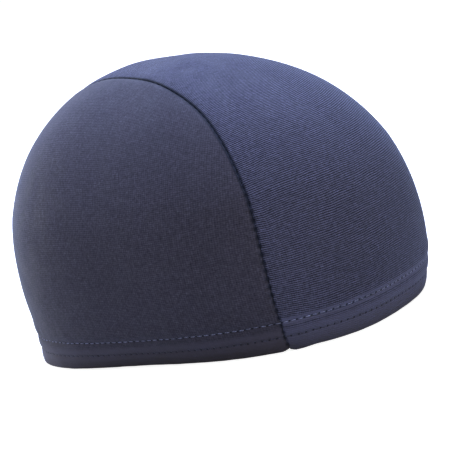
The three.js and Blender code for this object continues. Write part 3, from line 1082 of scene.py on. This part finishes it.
def needle_group():
    """Needle holes along the two rows of the hem, on hem coordinates in metres, and how near
    each place is to the rows, to the upper row and to the lower hem and turned-up cloth: masks
    for painted shade along the rows, a painted highlight beside the upper row and painted light
    on the lower hem."""
    tree, given, result = new_group(
        "needle_holes",
        [
            ("Hem", "NodeSocketVector", None),
            ("Pitch", "NodeSocketFloat", 0.003),
            ("Start", "NodeSocketFloat", 0.0),
            ("Lower Row", "NodeSocketFloat", ROWS_OF_STITCHES[0]),
            ("Upper Row", "NodeSocketFloat", ROWS_OF_STITCHES[1]),
            ("Hole", "NodeSocketFloat", 0.0006),
        ],
        [
            ("Holes", "NodeSocketFloat"),
            ("Rows", "NodeSocketFloat"),
            ("Upper Band", "NodeSocketFloat"),
            ("Turned Up", "NodeSocketFloat"),
        ],
    )
    around, height, _ = split(tree, given.outputs["Hem"])
    pitch, hole = given.outputs["Pitch"], given.outputs["Hole"]
    from_start = difference(tree, around, given.outputs["Start"])
    steps = math_node(tree, "DIVIDE", from_start, pitch)
    off = product(tree, difference(tree, steps, math_node(tree, "ROUND", steps)), pitch)
    deep = product(tree, hole, 0.35)
    masks, rows = [], []
    for name in ("Lower Row", "Upper Row"):
        up = difference(tree, height, given.outputs[name])
        far = math_node(tree, "ADD", product(tree, off, off), product(tree, up, up))
        far = math_node(tree, "SQRT", far)
        masks.append(map_range(tree, far, deep, hole, 1.0, 0.0, soft=True))
        beside = math_node(tree, "ABSOLUTE", up)
        # Rows: where the painted shade along the rows of stitches goes.
        rows.append(map_range(tree, beside, 0.0, 0.0011, 1.0, 0.0, soft=True))
    tree.links.new(math_node(tree, "MAXIMUM", *masks), result.inputs["Holes"])
    tree.links.new(math_node(tree, "MAXIMUM", *rows), result.inputs["Rows"])
    # Upper Band: where the painted highlight beside the upper row goes.
    band = map_range(tree, beside, 0.0009, 0.0022, 1.0, 0.0, soft=True)
    tree.links.new(band, result.inputs["Upper Band"])
    # Where the painted light on the lower hem and the turned-up cloth goes; it stands in for light
    # from the floor.
    turned = map_range(tree, up, -0.0045, -0.0015, 1.0, 0.0, soft=True)
    tree.links.new(turned, result.inputs["Turned Up"])
    return tree


def wear_group():
    """Slow changes of tone, fuzz and lint of used cloth, on the piece's own coordinates."""
    tree, given, result = new_group(
        "used_cloth",
        [
            ("Place", "NodeSocketVector", None),
            ("Colour", "NodeSocketColor", (0.04, 0.04, 0.06, 1)),
            ("Worn Colour", "NodeSocketColor", (0.06, 0.06, 0.09, 1)),
            ("Shade", "NodeSocketFloat", 0.0),
            ("Contrast", "NodeSocketFloat", 0.5),
        ],
        [
            ("Colour", "NodeSocketColor"),
            ("Roughness", "NodeSocketFloat"),
            ("Fuzz", "NodeSocketFloat"),
        ],
    )
    place = given.outputs["Place"]
    slow = map_range(tree, noise_node(tree, place, 22.0, 3.0), 0.35, 0.65)
    middle = map_range(tree, noise_node(tree, place, 120.0, 3.0), 0.35, 0.65)
    fine = noise_node(tree, place, 1500.0, 2.0, 0.7)
    tone = math_node(tree, "MULTIPLY_ADD", slow, 0.5, product(tree, middle, 0.3))
    colour = mix_colour(tree, tone, given.outputs["Colour"], given.outputs["Worn Colour"])
    shade, contrast = given.outputs["Shade"], given.outputs["Contrast"]
    dark = math_node(tree, "MULTIPLY_ADD", shade, contrast, 1.0)
    dark = math_node(tree, "MAXIMUM", dark, 0.15)
    mottle = map_range(tree, noise_node(tree, place, 480.0, 2.0), 0.35, 0.65, 0.86, 1.14)
    dark = product(tree, dark, mottle)
    dark = product(tree, dark, map_range(tree, fine, 0.3, 0.7, 0.8, 1.2))
    tint = tree.nodes.new("ShaderNodeVectorMath")
    tint.operation = "SCALE"
    tree.links.new(colour, tint.inputs[0])
    tree.links.new(dark, tint.inputs["Scale"])
    specks = map_range(tree, noise_node(tree, place, 700.0, 0.0), 0.80, 0.83)
    lint = mix_colour(tree, product(tree, specks, 0.12), tint.outputs[0], LINT_COLOUR)
    tree.links.new(lint, result.inputs["Colour"])
    rough = map_range(tree, math_node(tree, "ADD", middle, fine), 0.4, 1.6, 0.78, 0.95)
    tree.links.new(rough, result.inputs["Roughness"])
    fuzz = math_node(tree, "MULTIPLY_ADD", fine, 0.6, product(tree, specks, 0.4))
    tree.links.new(fuzz, result.inputs["Fuzz"])
    return tree


GROUPS = {}
MATERIALS = {}


def group_node(tree, name, make):
    if name not in GROUPS:
        GROUPS[name] = make()
    node = tree.nodes.new("ShaderNodeGroup")
    node.node_tree = GROUPS[name]
    return node


def new_material(name, sheen, sheen_tint, sheen_roughness, specular):
    material = bpy.data.materials.new(name)
    material.use_nodes = True
    tree = material.node_tree
    shader = tree.nodes["Principled BSDF"]
    shader.inputs["Sheen Weight"].default_value = sheen
    shader.inputs["Sheen Tint"].default_value = (*sheen_tint, 1)
    shader.inputs["Sheen Roughness"].default_value = sheen_roughness
    shader.inputs["Specular IOR Level"].default_value = specular
    return material, tree, shader


def uv_node(tree, name):
    node = tree.nodes.new("ShaderNodeUVMap")
    node.uv_map = name
    return node.outputs[0]


def used_node(tree, place, colour, worn, contrast):
    used = group_node(tree, "used_cloth", wear_group)
    put(tree, used.inputs["Place"], place)
    used.inputs["Colour"].default_value = (*colour, 1)
    used.inputs["Worn Colour"].default_value = (*worn, 1)
    used.inputs["Contrast"].default_value = contrast
    return used


def bump_node(tree, height, strength, distance):
    bump = tree.nodes.new("ShaderNodeBump")
    bump.inputs["Strength"].default_value = strength
    bump.inputs["Distance"].default_value = distance
    put(tree, bump.inputs["Height"], height)
    return bump.outputs[0]


def cloth_material(name, colour, knit_inputs, contrast, band_highlight):
    """Knit cloth: ribs and grain, needle holes at the hem with painted shade in them, painted
    shade in the seams' groove (a darker crease), painted shade along the hem's rows of stitches,
    a painted highlight beside the upper row and painted light on the lower hem.
    """
    looks = cap_settings().looks
    material, tree, shader = new_material(name, looks.sheen, looks.sheen_tint, 0.42, 0.25)
    knit = group_node(tree, "knit", knit_group)
    for label, value in knit_inputs.items():
        knit.inputs[label].default_value = value
    put(tree, knit.inputs["Cloth"], uv_node(tree, "weave"))
    place = tree.nodes.new("ShaderNodeTexCoord").outputs["Object"]
    used = used_node(tree, place, colour, [c * 1.25 for c in colour], contrast)
    put(tree, used.inputs["Shade"], knit.outputs["Shade"])
    holes = group_node(tree, "needle_holes", needle_group)
    put(tree, holes.inputs["Hem"], uv_node(tree, "hem"))
    count = round(HEM_GIRTH / cap_settings().threads.hem_pitch)
    holes.inputs["Pitch"].default_value = HEM_GIRTH / count
    holes.inputs["Start"].default_value = HEM_RUNS[0]
    # pale is the tone of the painted highlight and the painted light, deep that of the painted
    # shade along the rows.
    pale, deep = ((*[c * share for c in colour], 1) for share in (2.1, 0.45))
    tone = used.outputs["Colour"]
    for mask, share, towards in (
        ("Upper Band", band_highlight, pale),
        ("Turned Up", 0.7, pale),
        ("Rows", 0.12, deep),
        ("Holes", 0.9, HOLE_SHADE_COLOUR),
    ):
        tone = mix_colour(tree, product(tree, holes.outputs[mask], share), tone, towards)
    # Painted shade in the seams' groove, dotted at each stitch low on the brow.
    seam = split(tree, uv_node(tree, "seam"))
    seam_shade = map_range(tree, seam[0], *SEAM_SHADE_REACH, 1.0, 0.0, soft=True)
    pitch = cap_settings().cloth.seam_pitch
    stitch = sine(tree, math_node(tree, "ADD", seam[1], pitch / 4), pitch)
    low = map_range(tree, seam[1], *DOTTED_RUNS, 0.75, 0.0, soft=True)
    dots = difference(tree, 1.0, product(tree, difference(tree, 1.0, stitch), low))
    tone = mix_colour(tree, product(tree, seam_shade, dots), tone, SEAM_SHADE_COLOUR)
    put(tree, shader.inputs["Base Color"], tone)
    put(tree, shader.inputs["Roughness"], used.outputs["Roughness"])
    height = math_node(tree, "MULTIPLY_ADD", used.outputs["Fuzz"], 0.35, knit.outputs["Height"])
    height = math_node(tree, "MULTIPLY_ADD", holes.outputs["Holes"], -2.5, height)
    put(tree, shader.inputs["Normal"], bump_node(tree, height, 0.75, 0.00022))
    return material


def thread_material(name, colour, worn, sheen):
    """Spun polyester thread: fine twist lines and a soft sheen."""
    material, tree, shader = new_material(name, sheen, (0.75, 0.8, 1.0), 0.35, 0.35)
    place = tree.nodes.new("ShaderNodeTexCoord").outputs["Object"]
    used = used_node(tree, place, colour, worn, 0.8)
    wave = tree.nodes.new("ShaderNodeTexWave")
    wave.bands_direction = "DIAGONAL"
    wave.inputs["Scale"].default_value = 900.0
    wave.inputs["Distortion"].default_value = 1.5
    put(tree, wave.inputs["Vector"], place)
    put(tree, used.inputs["Shade"], difference(tree, wave.outputs["Fac"], 0.5))
    put(tree, shader.inputs["Base Color"], used.outputs["Colour"])
    put(tree, shader.inputs["Roughness"], used.outputs["Roughness"])
    height = math_node(tree, "ADD", wave.outputs["Fac"], used.outputs["Fuzz"])
    put(tree, shader.inputs["Normal"], bump_node(tree, height, 0.6, 0.0001))
    return material


def centre_cloth():
    colour = cap_settings().looks.centre_colour
    return cloth_material("centre_cloth", colour, CENTRE_KNIT, CENTRE_CONTRAST, CENTRE_BAND_HIGHLIGHT)


def side_cloth():
    colour = cap_settings().looks.side_colour
    return cloth_material("side_cloth", colour, SIDE_KNIT, SIDE_CONTRAST, SIDE_BAND_HIGHLIGHT)


def seam_thread():
    colour = cap_settings().looks.seam_thread
    return thread_material("overlock_thread", colour, [c * 1.6 for c in colour], 0.15)


def shared_material(name, make):
    """A material that several pieces wear, made for the first of them."""
    if name not in MATERIALS:
        MATERIALS[name] = make()
    return MATERIALS[name]


# Settings.


class SkullCapCloth(bpy.types.PropertyGroup):
    """Sizes of the cloth, its hem and its seams."""

    thickness: FloatProperty(
        name="Cloth thickness", description="Thickness of the knit", default=0.001,
        min=0.0005, max=0.00105, subtype="DISTANCE", unit="LENGTH",
    )
    seam_gap: FloatProperty(
        name="Seam gap", description="Gap from the seam line to the cloth's edge", default=0.00018,
        min=0.00005, max=0.0005, subtype="DISTANCE", unit="LENGTH",
    )
    edge_roll: FloatProperty(
        name="Edge roll", description="Radius with which the cloth turns in at a seam",
        default=0.0006, min=0.0002, max=0.0009, subtype="DISTANCE", unit="LENGTH",
    )
    seam_dip: FloatProperty(
        name="Seam dip", description="How far the thread draws the cloth in beside a seam",
        default=0.00045, min=0.0, max=0.001, subtype="DISTANCE", unit="LENGTH",
    )
    seam_pitch: FloatProperty(
        name="Seam stitch", description="Length of a stitch along the seams", default=0.0034,
        min=0.002, max=0.005, subtype="DISTANCE", unit="LENGTH",
    )
    pucker: FloatProperty(
        name="Hem pucker", description="How far a row of stitches draws the hem in",
        default=0.00030, min=0.0, max=0.0008, subtype="DISTANCE", unit="LENGTH",
    )


class SkullCapThreads(bpy.types.PropertyGroup):
    """Sizes of the stitches."""

    hem_pitch: FloatProperty(
        name="Hem stitch", description="Length of a stitch around the hem", default=0.003,
        min=0.002, max=0.005, subtype="DISTANCE", unit="LENGTH",
    )
    dash_length: FloatProperty(
        name="Thread between needle holes", description="Length of thread that shows",
        default=0.0021, min=0.001, max=0.003, subtype="DISTANCE", unit="LENGTH",
    )
    width: FloatProperty(
        name="Thread width", description="Width of the sewing thread", default=0.00040,
        min=0.0002, max=0.0008, subtype="DISTANCE", unit="LENGTH",
    )


class SkullCapLooks(bpy.types.PropertyGroup):
    """Colours and light."""

    # The difference between the centre and side colours is painted sheen: it stands in for the
    # stronger sheen of the centre's crosswise knit.
    centre_colour: FloatVectorProperty(
        name="Centre cloth", description="Colour of the centre panel", size=3, subtype="COLOR",
        default=(0.047, 0.045, 0.067), min=0, max=1,
    )
    side_colour: FloatVectorProperty(
        name="Side cloth", description="Colour of the side panels", size=3, subtype="COLOR",
        default=(0.037, 0.032, 0.041), min=0, max=1,
    )
    seam_thread: FloatVectorProperty(
        name="Seam thread", description="Colour of the overlock thread", size=3,
        subtype="COLOR", default=SLOT_COLOURS["seam_thread"], min=0, max=1,
    )
    hem_thread: FloatVectorProperty(
        name="Hem thread", description="Colour of the topstitching", size=3, subtype="COLOR",
        default=(0.15, 0.155, 0.22), min=0, max=1,
    )
    sheen: FloatProperty(
        name="Sheen", description="Sheen of the knit's fuzz", default=0.14, min=0, max=1,
    )
    sheen_tint: FloatVectorProperty(
        name="Sheen tint", description="Colour of the sheen", size=3, subtype="COLOR",
        default=(0.75, 0.83, 1.0), min=0, max=1,
    )
    key_power: FloatProperty(
        name="Key lights", description="Power of each soft light over the cap", default=19.5,
        min=0, max=100, subtype="POWER", unit="POWER",
    )
    key_tint: FloatVectorProperty(
        name="Key tint", description="Colour of the lights over the cap", size=3,
        subtype="COLOR", default=(0.465, 0.585, 1.0), min=0, max=1,
    )
    fill_power: FloatProperty(
        name="Fill light", description="Power of the soft light from the front", default=4.7,
        min=0, max=100, subtype="POWER", unit="POWER",
    )
    edge_power: FloatProperty(
        name="Edge light", description="Power of the soft light on the cap's far side",
        default=5.8, min=0, max=100, subtype="POWER", unit="POWER",
    )
    sky_strength: FloatProperty(
        name="Sky", description="Strength of the light from all sides", default=0.225, min=0, max=5,
    )
    floor_glow: FloatProperty(
        name="Floor white", description="White added to the floor as the camera sees it",
        default=0.9, min=0, max=1,
    )


class SkullCapSettings(bpy.types.PropertyGroup):
    """All settings of the cap."""

    cloth: PointerProperty(type=SkullCapCloth, name="Cloth")
    threads: PointerProperty(type=SkullCapThreads, name="Threads")
    looks: PointerProperty(type=SkullCapLooks, name="Looks")


# Pieces.


class SKULLCAP_OT_centre_panel(bpy.types.Operator):
    """Sews in the centre panel, wide at the brow and narrow at the nape"""

    bl_idname = "skull_cap.centre_panel"
    bl_label = "Centre panel"

    def execute(self, context):
        piece = cloth_piece("centre_panel_cloth", [centre_patch()], False)
        piece.data.materials.append(centre_cloth())
        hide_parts("centre_panel")
        return {"FINISHED"}


class SKULLCAP_OT_side_panels(bpy.types.Operator):
    """Sews in the two side panels, mirror twins with an upright grain"""

    bl_idname = "skull_cap.side_panels"
    bl_label = "Side panels"

    def execute(self, context):
        patches = side_patches()
        for name, node, mirrored in (
            ("left_panel_cloth", "left_panel", False),
            ("right_panel_cloth", "right_panel", True),
        ):
            piece = cloth_piece(name, patches, mirrored)
            piece.data.materials.append(shared_material("side", side_cloth))
            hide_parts(node)
        return {"FINISHED"}


class SKULLCAP_OT_seam_allowances(bpy.types.Operator):
    """Lays the two overlocked seam allowances inside the side panels"""

    bl_idname = "skull_cap.seam_allowances"
    bl_label = "Seam allowances"

    def execute(self, context):
        for name, node, mirrored in (
            ("left_seam_allowance", "left_seam", False),
            ("right_seam_allowance", "right_seam", True),
        ):
            piece = seam_allowance(name, mirrored)
            piece.data.materials.append(shared_material("seam", seam_thread))
            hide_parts(node)
            loops = overlock_loops(name.replace("allowance", "overlock"), mirrored)
            loops.data.materials.append(shared_material("seam", seam_thread))
        return {"FINISHED"}


def allowance_runs(count):
    ends = [seam_run_at(HEM_WIDTH + ALLOWANCE_ABOVE_HEM, at_back) for at_back in (False, True)]
    return np.linspace(*ends, count)


def allowance_point(run, lateral, depth):
    """A point under the cloth, a distance to the side of the seam and a depth inside."""
    place, _, _, aside = seam_frame(run)
    cloth = on_dome(place + aside * np.asarray(lateral)[..., None])
    return cloth + depth_direction(cloth) * np.asarray(depth)[..., None]


def allowance_depth():
    """How deep the allowance's face lies under the outer face of the cloth."""
    sizes = cap_settings().cloth
    return sizes.thickness + sizes.seam_dip * 0.2 + 0.0002


def seam_allowance(name, mirrored):
    """A flat strip of two cloth edges with a rounded section, waved a little by its loops."""
    runs = allowance_runs(ALLOWANCE_STEPS)
    turn = np.linspace(0, 2 * math.pi, ALLOWANCE_SIDES, endpoint=False)
    middle = ALLOWANCE_WIDTH / 2 - ALLOWANCE_OVERLAP
    near = allowance_depth()
    across = np.sign(np.cos(turn)) * np.abs(np.cos(turn)) ** 0.5
    deep = np.sign(np.sin(turn)) * np.abs(np.sin(turn)) ** 0.6
    phase = 2 * math.pi * runs / OVERLOCK_PITCH
    wave = 1 + 0.10 * np.cos(phase)
    rows = []
    for a, d in zip(across, deep):
        lateral = middle + a * ALLOWANCE_WIDTH / 2 * (1 + 0.04 * np.sin(phase) * (a > 0.5))
        bulge = ALLOWANCE_THICKNESS / 2 * (1 + d * (wave if d > 0 else 1))
        rows.append(allowance_point(runs, lateral, near + bulge))
    rings = np.array(rows)
    bm = bmesh.new()
    made = bmesh.ops.create_circle(bm, cap_ends=True, segments=ALLOWANCE_SIDES, radius=1.0)
    last = made["verts"]
    for vert, point in zip(last, rings[:, 0]):
        vert.co = point
    edge = bm.edges[:]
    for index in range(1, len(runs)):
        grown = bmesh.ops.extrude_edge_only(bm, edges=edge)["geom"]
        verts = {e for e in grown if isinstance(e, bmesh.types.BMVert)}
        edge = [e for e in grown if isinstance(e, bmesh.types.BMEdge) and verts.issuperset(e.verts)]
        last = match_ring(last, verts)
        for vert, point in zip(last, rings[:, index]):
            vert.co = point
    bmesh.ops.contextual_create(bm, geom=edge)
    bmesh.ops.recalc_face_normals(bm, faces=bm.faces[:])
    for face in bm.faces:
        face.smooth = len(face.verts) == 4
    return piece_from(bm, name, mirrored)


def match_ring(old, new):
    """The new ring's vertices in the old ring's order: each new one is joined to its old."""
    order = []
    for vert in old:
        joined = [edge.other_vert(vert) for edge in vert.link_edges]
        order.append(next(other for other in joined if other in new))
    return order


def overlock_loops(name, mirrored):
    """Loops of overlock thread: across the allowance, and a chain along its free edge."""
    pitch = OVERLOCK_PITCH
    first, last = allowance_runs(2)
    count = int((last - first) / pitch) - 1
    runs = first + (np.arange(count) + 0.7) * pitch
    depth = allowance_depth() + ALLOWANCE_THICKNESS + 0.00005
    inner, outer = -ALLOWANCE_OVERLAP + 0.0012, ALLOWANCE_WIDTH - ALLOWANCE_OVERLAP
    starts, ends = [], []
    # Each thread of a loop: where it starts and ends along the stitch and to the side, and
    # how far it is lifted toward the cloth.
    for begin, begin_side, finish, finish_side, lift in (
        (0, inner, 0.4, outer - 0.0002, 0),
        (0.45, outer - 0.0002, 1, inner + 0.0012, 0),
        (0, inner, 0.95, inner, 0),
        (0, inner + 0.0013, 0.95, inner + 0.0013, 0),
        (0, outer + 0.0001, 0.95, outer + 0.0001, 0.0006),
    ):
        level = np.full(count, depth - lift)
        for points, along, side in ((starts, begin, begin_side), (ends, finish, finish_side)):
            points.append(allowance_point(runs + along * pitch, np.full(count, side), level))
    starts, ends = np.concatenate(starts), np.concatenate(ends)
    way = depth_direction((starts + ends) / 2)
    if mirrored:
        starts, ends, way = starts * MIRRORED, ends * MIRRORED, way * MIRRORED
    return thread_pieces(name, starts, ends, way, *OVERLOCK_THREAD, 0.00008)


class SKULLCAP_OT_seam_threads(bpy.types.Operator):
    """Puts the ladder of thread into the groove of each seam"""

    bl_idname = "skull_cap.seam_threads"
    bl_label = "Seam threads"

    def execute(self, context):
        sizes = cap_settings().cloth
        count = int(SEAM_LENGTH / sizes.seam_pitch)
        runs = (np.arange(count) + 0.5) * sizes.seam_pitch
        runs = runs[seam_height(runs) > HEM_WIDTH]
        starts = beside_seam(runs - LADDER_SLANT, np.full(runs.shape, -LADDER_REACH))
        ends = beside_seam(runs + LADDER_SLANT, np.full(runs.shape, LADDER_REACH))
        way = -depth_direction((starts + ends) / 2)
        starts, ends = starts - way * LADDER_DEPTH, ends - way * LADDER_DEPTH
        both = [np.concatenate([one, one * MIRRORED]) for one in (starts, ends, way)]
        piece = thread_pieces("seam_ladder_thread", *both, *LADDER_THREAD)
        piece.data.materials.append(shared_material("seam", seam_thread))
        return {"FINISHED"}


class SKULLCAP_OT_hem_stitches(bpy.types.Operator):
    """Sews the two rows of topstitching around the hem"""

    bl_idname = "skull_cap.hem_stitches"
    bl_label = "Hem stitches"

    def execute(self, context):
        threads, looks = cap_settings().threads, cap_settings().looks
        runs = hem_stations(threads.hem_pitch)
        half = threads.dash_length / 2
        draw = np.random.default_rng(21)
        # The lower row's thread is the same thread darkened to 0.28 of its colour (0.4 worn):
        # painted shade on a row that lies in shade.
        plain, worn, low, low_worn = (
            [c * share for c in looks.hem_thread] for share in (1.0, 1.5, 0.28, 0.4)
        )
        bright = thread_material("hem_thread", plain, worn, 0.4)
        shaded_thread = thread_material("hem_thread_low", low, low_worn, 0.2)
        for name, height, sunk, material in (
            ("hem_lower_stitches", ROWS_OF_STITCHES[0], 0.00012, shaded_thread),
            ("hem_upper_stitches", ROWS_OF_STITCHES[1], -0.00003, bright),
        ):
            tilt = draw.uniform(-0.00012, 0.00012, (2, len(runs)))
            starts, out = on_hem(runs - half, height + tilt[0], sunk)
            ends, _ = on_hem(runs + half, height + tilt[1], sunk)
            across = (threads.width, SEWING_THREAD_HEIGHT)
            piece = thread_pieces(name, starts, ends, out, *across, 0.00006)
            piece.data.materials.append(material)
        return {"FINISHED"}


class SKULLCAP_OT_hem_cover_thread(bpy.types.Operator):
    """Covers the raw edge of the hem inside with a zigzag of looper thread"""

    bl_idname = "skull_cap.hem_cover_thread"
    bl_label = "Hem cover thread"

    def execute(self, context):
        threads = cap_settings().threads
        runs = hem_stations(threads.hem_pitch)
        step = HEM_GIRTH / len(runs)
        low, high = ROWS_OF_STITCHES
        depth = HEM_THICKNESS + 0.00005
        lower, _ = on_hem(runs, low, depth)
        upper, _ = on_hem(runs + step / 2, high, depth)
        after, _ = on_hem(runs + step, low, depth)
        starts = np.concatenate([lower, upper])
        ends = np.concatenate([upper, after])
        for height in (low, high):
            line, _ = on_hem(runs, height, depth - 0.00005)
            further, _ = on_hem(runs + step * 0.96, height, depth - 0.00005)
            starts, ends = np.concatenate([starts, line]), np.concatenate([ends, further])
        way = depth_direction((starts + ends) / 2)
        piece = thread_pieces("hem_cover_thread", starts, ends, way, *LOOPER_THREAD, 0.00012)
        piece.data.materials.append(shared_material("seam", seam_thread))
        return {"FINISHED"}


class SKULLCAP_OT_studio(bpy.types.Operator):
    """Sets the pale floor, the soft lights and the camera at the photograph's angle"""

    bl_idname = "skull_cap.studio"
    bl_label = "Studio"

    def execute(self, context):
        scene = context.scene
        looks = cap_settings().looks
        bm = bmesh.new()
        bmesh.ops.create_circle(bm, cap_ends=True, segments=96, radius=FLOOR_RADIUS)
        mesh = bpy.data.meshes.new("floor")
        bm.to_mesh(mesh)
        bm.free()
        floor = bpy.data.objects.new("floor", mesh)
        scene.collection.objects.link(floor)
        material = bpy.data.materials.new("floor")
        material.use_nodes = True
        tree = material.node_tree
        shader = tree.nodes["Principled BSDF"]
        place = tree.nodes.new("ShaderNodeTexCoord").outputs["Object"]
        tone = mix_colour(tree, noise_node(tree, place, 3.0), *FLOOR_TONES)
        put(tree, shader.inputs["Base Color"], tone)
        seen = tree.nodes.new("ShaderNodeLightPath").outputs["Is Camera Ray"]
        glow = mix_colour(tree, seen, (0, 0, 0, 1), (*[looks.floor_glow] * 3, 1))
        put(tree, shader.inputs["Emission Color"], glow)
        shader.inputs["Emission Strength"].default_value = 1.0
        shader.inputs["Roughness"].default_value = 0.9
        shader.inputs["Specular IOR Level"].default_value = 0.1
        mesh.materials.append(material)

        world = bpy.data.worlds.new("studio")
        world.use_nodes = True
        sky = world.node_tree.nodes["Background"]
        sky.inputs["Color"].default_value = (1.0, 1.0, 1.0, 1)
        sky.inputs["Strength"].default_value = looks.sky_strength
        scene.world = world

        for name, spot, size, power, share, tinted in LIGHTS:
            light = bpy.data.lights.new(name, "AREA")
            light.shape = "DISK"
            light.size = size
            light.energy = getattr(looks, power) * share
            light.color = looks.key_tint if tinted else (1.0, 1.0, 1.0)
            lamp = bpy.data.objects.new(name, light)
            lamp.location = spot
            aim = Vector(LIGHTS_AIM_AT) - Vector(spot)
            lamp.rotation_euler = aim.to_track_quat("-Z", "Y").to_euler()
            scene.collection.objects.link(lamp)

        angles = (CAMERA_AZIMUTH, CAMERA_ELEVATION, CAMERA_ROLL)
        azimuth, elevation, roll = (math.radians(angle) for angle in angles)
        back = Vector((
            math.sin(azimuth) * math.cos(elevation),
            -math.cos(azimuth) * math.cos(elevation),
            math.sin(elevation),
        ))
        right = Vector((0, 0, 1)).cross(back).normalized()
        up = back.cross(right)
        level_right = math.cos(roll) * right + math.sin(roll) * up
        level_up = -math.sin(roll) * right + math.cos(roll) * up
        turn = Matrix((level_right, level_up, back)).transposed()
        lens = bpy.data.cameras.new("camera")
        lens.sensor_width = 36.0
        lens.lens = FOCAL_SHARE * lens.sensor_width
        lens.clip_start, lens.clip_end = 0.05, 40.0
        camera = bpy.data.objects.new("camera", lens)
        camera.matrix_world = Matrix.Translation(Vector(CAMERA_PLACE)) @ turn.to_4x4()
        scene.collection.objects.link(camera)
        scene.camera = camera
        scene.view_settings.view_transform = "Standard"
        return {"FINISHED"}


class SKULLCAP_PT_panel(bpy.types.Panel):
    """Lists the cap's settings and the pieces that it is sewn from"""

    bl_idname = "SKULLCAP_PT_panel"
    bl_label = "Skull Cap"
    bl_space_type = "VIEW_3D"
    bl_region_type = "UI"
    bl_category = "Skull Cap"

    def draw(self, context):
        settings = context.scene.skull_cap
        for group in (settings.cloth, settings.threads, settings.looks):
            box = self.layout.box()
            for name in group.__annotations__:
                box.prop(group, name)
        for operator in OPERATORS:
            self.layout.operator(operator.bl_idname)


GROUP_CLASSES = (SkullCapCloth, SkullCapThreads, SkullCapLooks, SkullCapSettings)
OPERATORS = (
    SKULLCAP_OT_studio,
    SKULLCAP_OT_centre_panel,
    SKULLCAP_OT_side_panels,
    SKULLCAP_OT_seam_allowances,
    SKULLCAP_OT_seam_threads,
    SKULLCAP_OT_hem_stitches,
    SKULLCAP_OT_hem_cover_thread,
)


def register():
    for cls in (*GROUP_CLASSES, *OPERATORS, SKULLCAP_PT_panel):
        bpy.utils.register_class(cls)
    bpy.types.Scene.skull_cap = PointerProperty(type=SkullCapSettings)


def unregister():
    del bpy.types.Scene.skull_cap
    for cls in reversed((*GROUP_CLASSES, *OPERATORS, SKULLCAP_PT_panel)):
        bpy.utils.unregister_class(cls)


def main():
    register()
    bpy.ops.skull_cap.studio()
    bpy.ops.skull_cap.centre_panel()
    bpy.ops.skull_cap.side_panels()
    bpy.ops.skull_cap.seam_allowances()
    bpy.ops.skull_cap.seam_threads()
    bpy.ops.skull_cap.hem_stitches()
    bpy.ops.skull_cap.hem_cover_thread()
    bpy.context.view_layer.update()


if __name__ == "__main__":
    main()
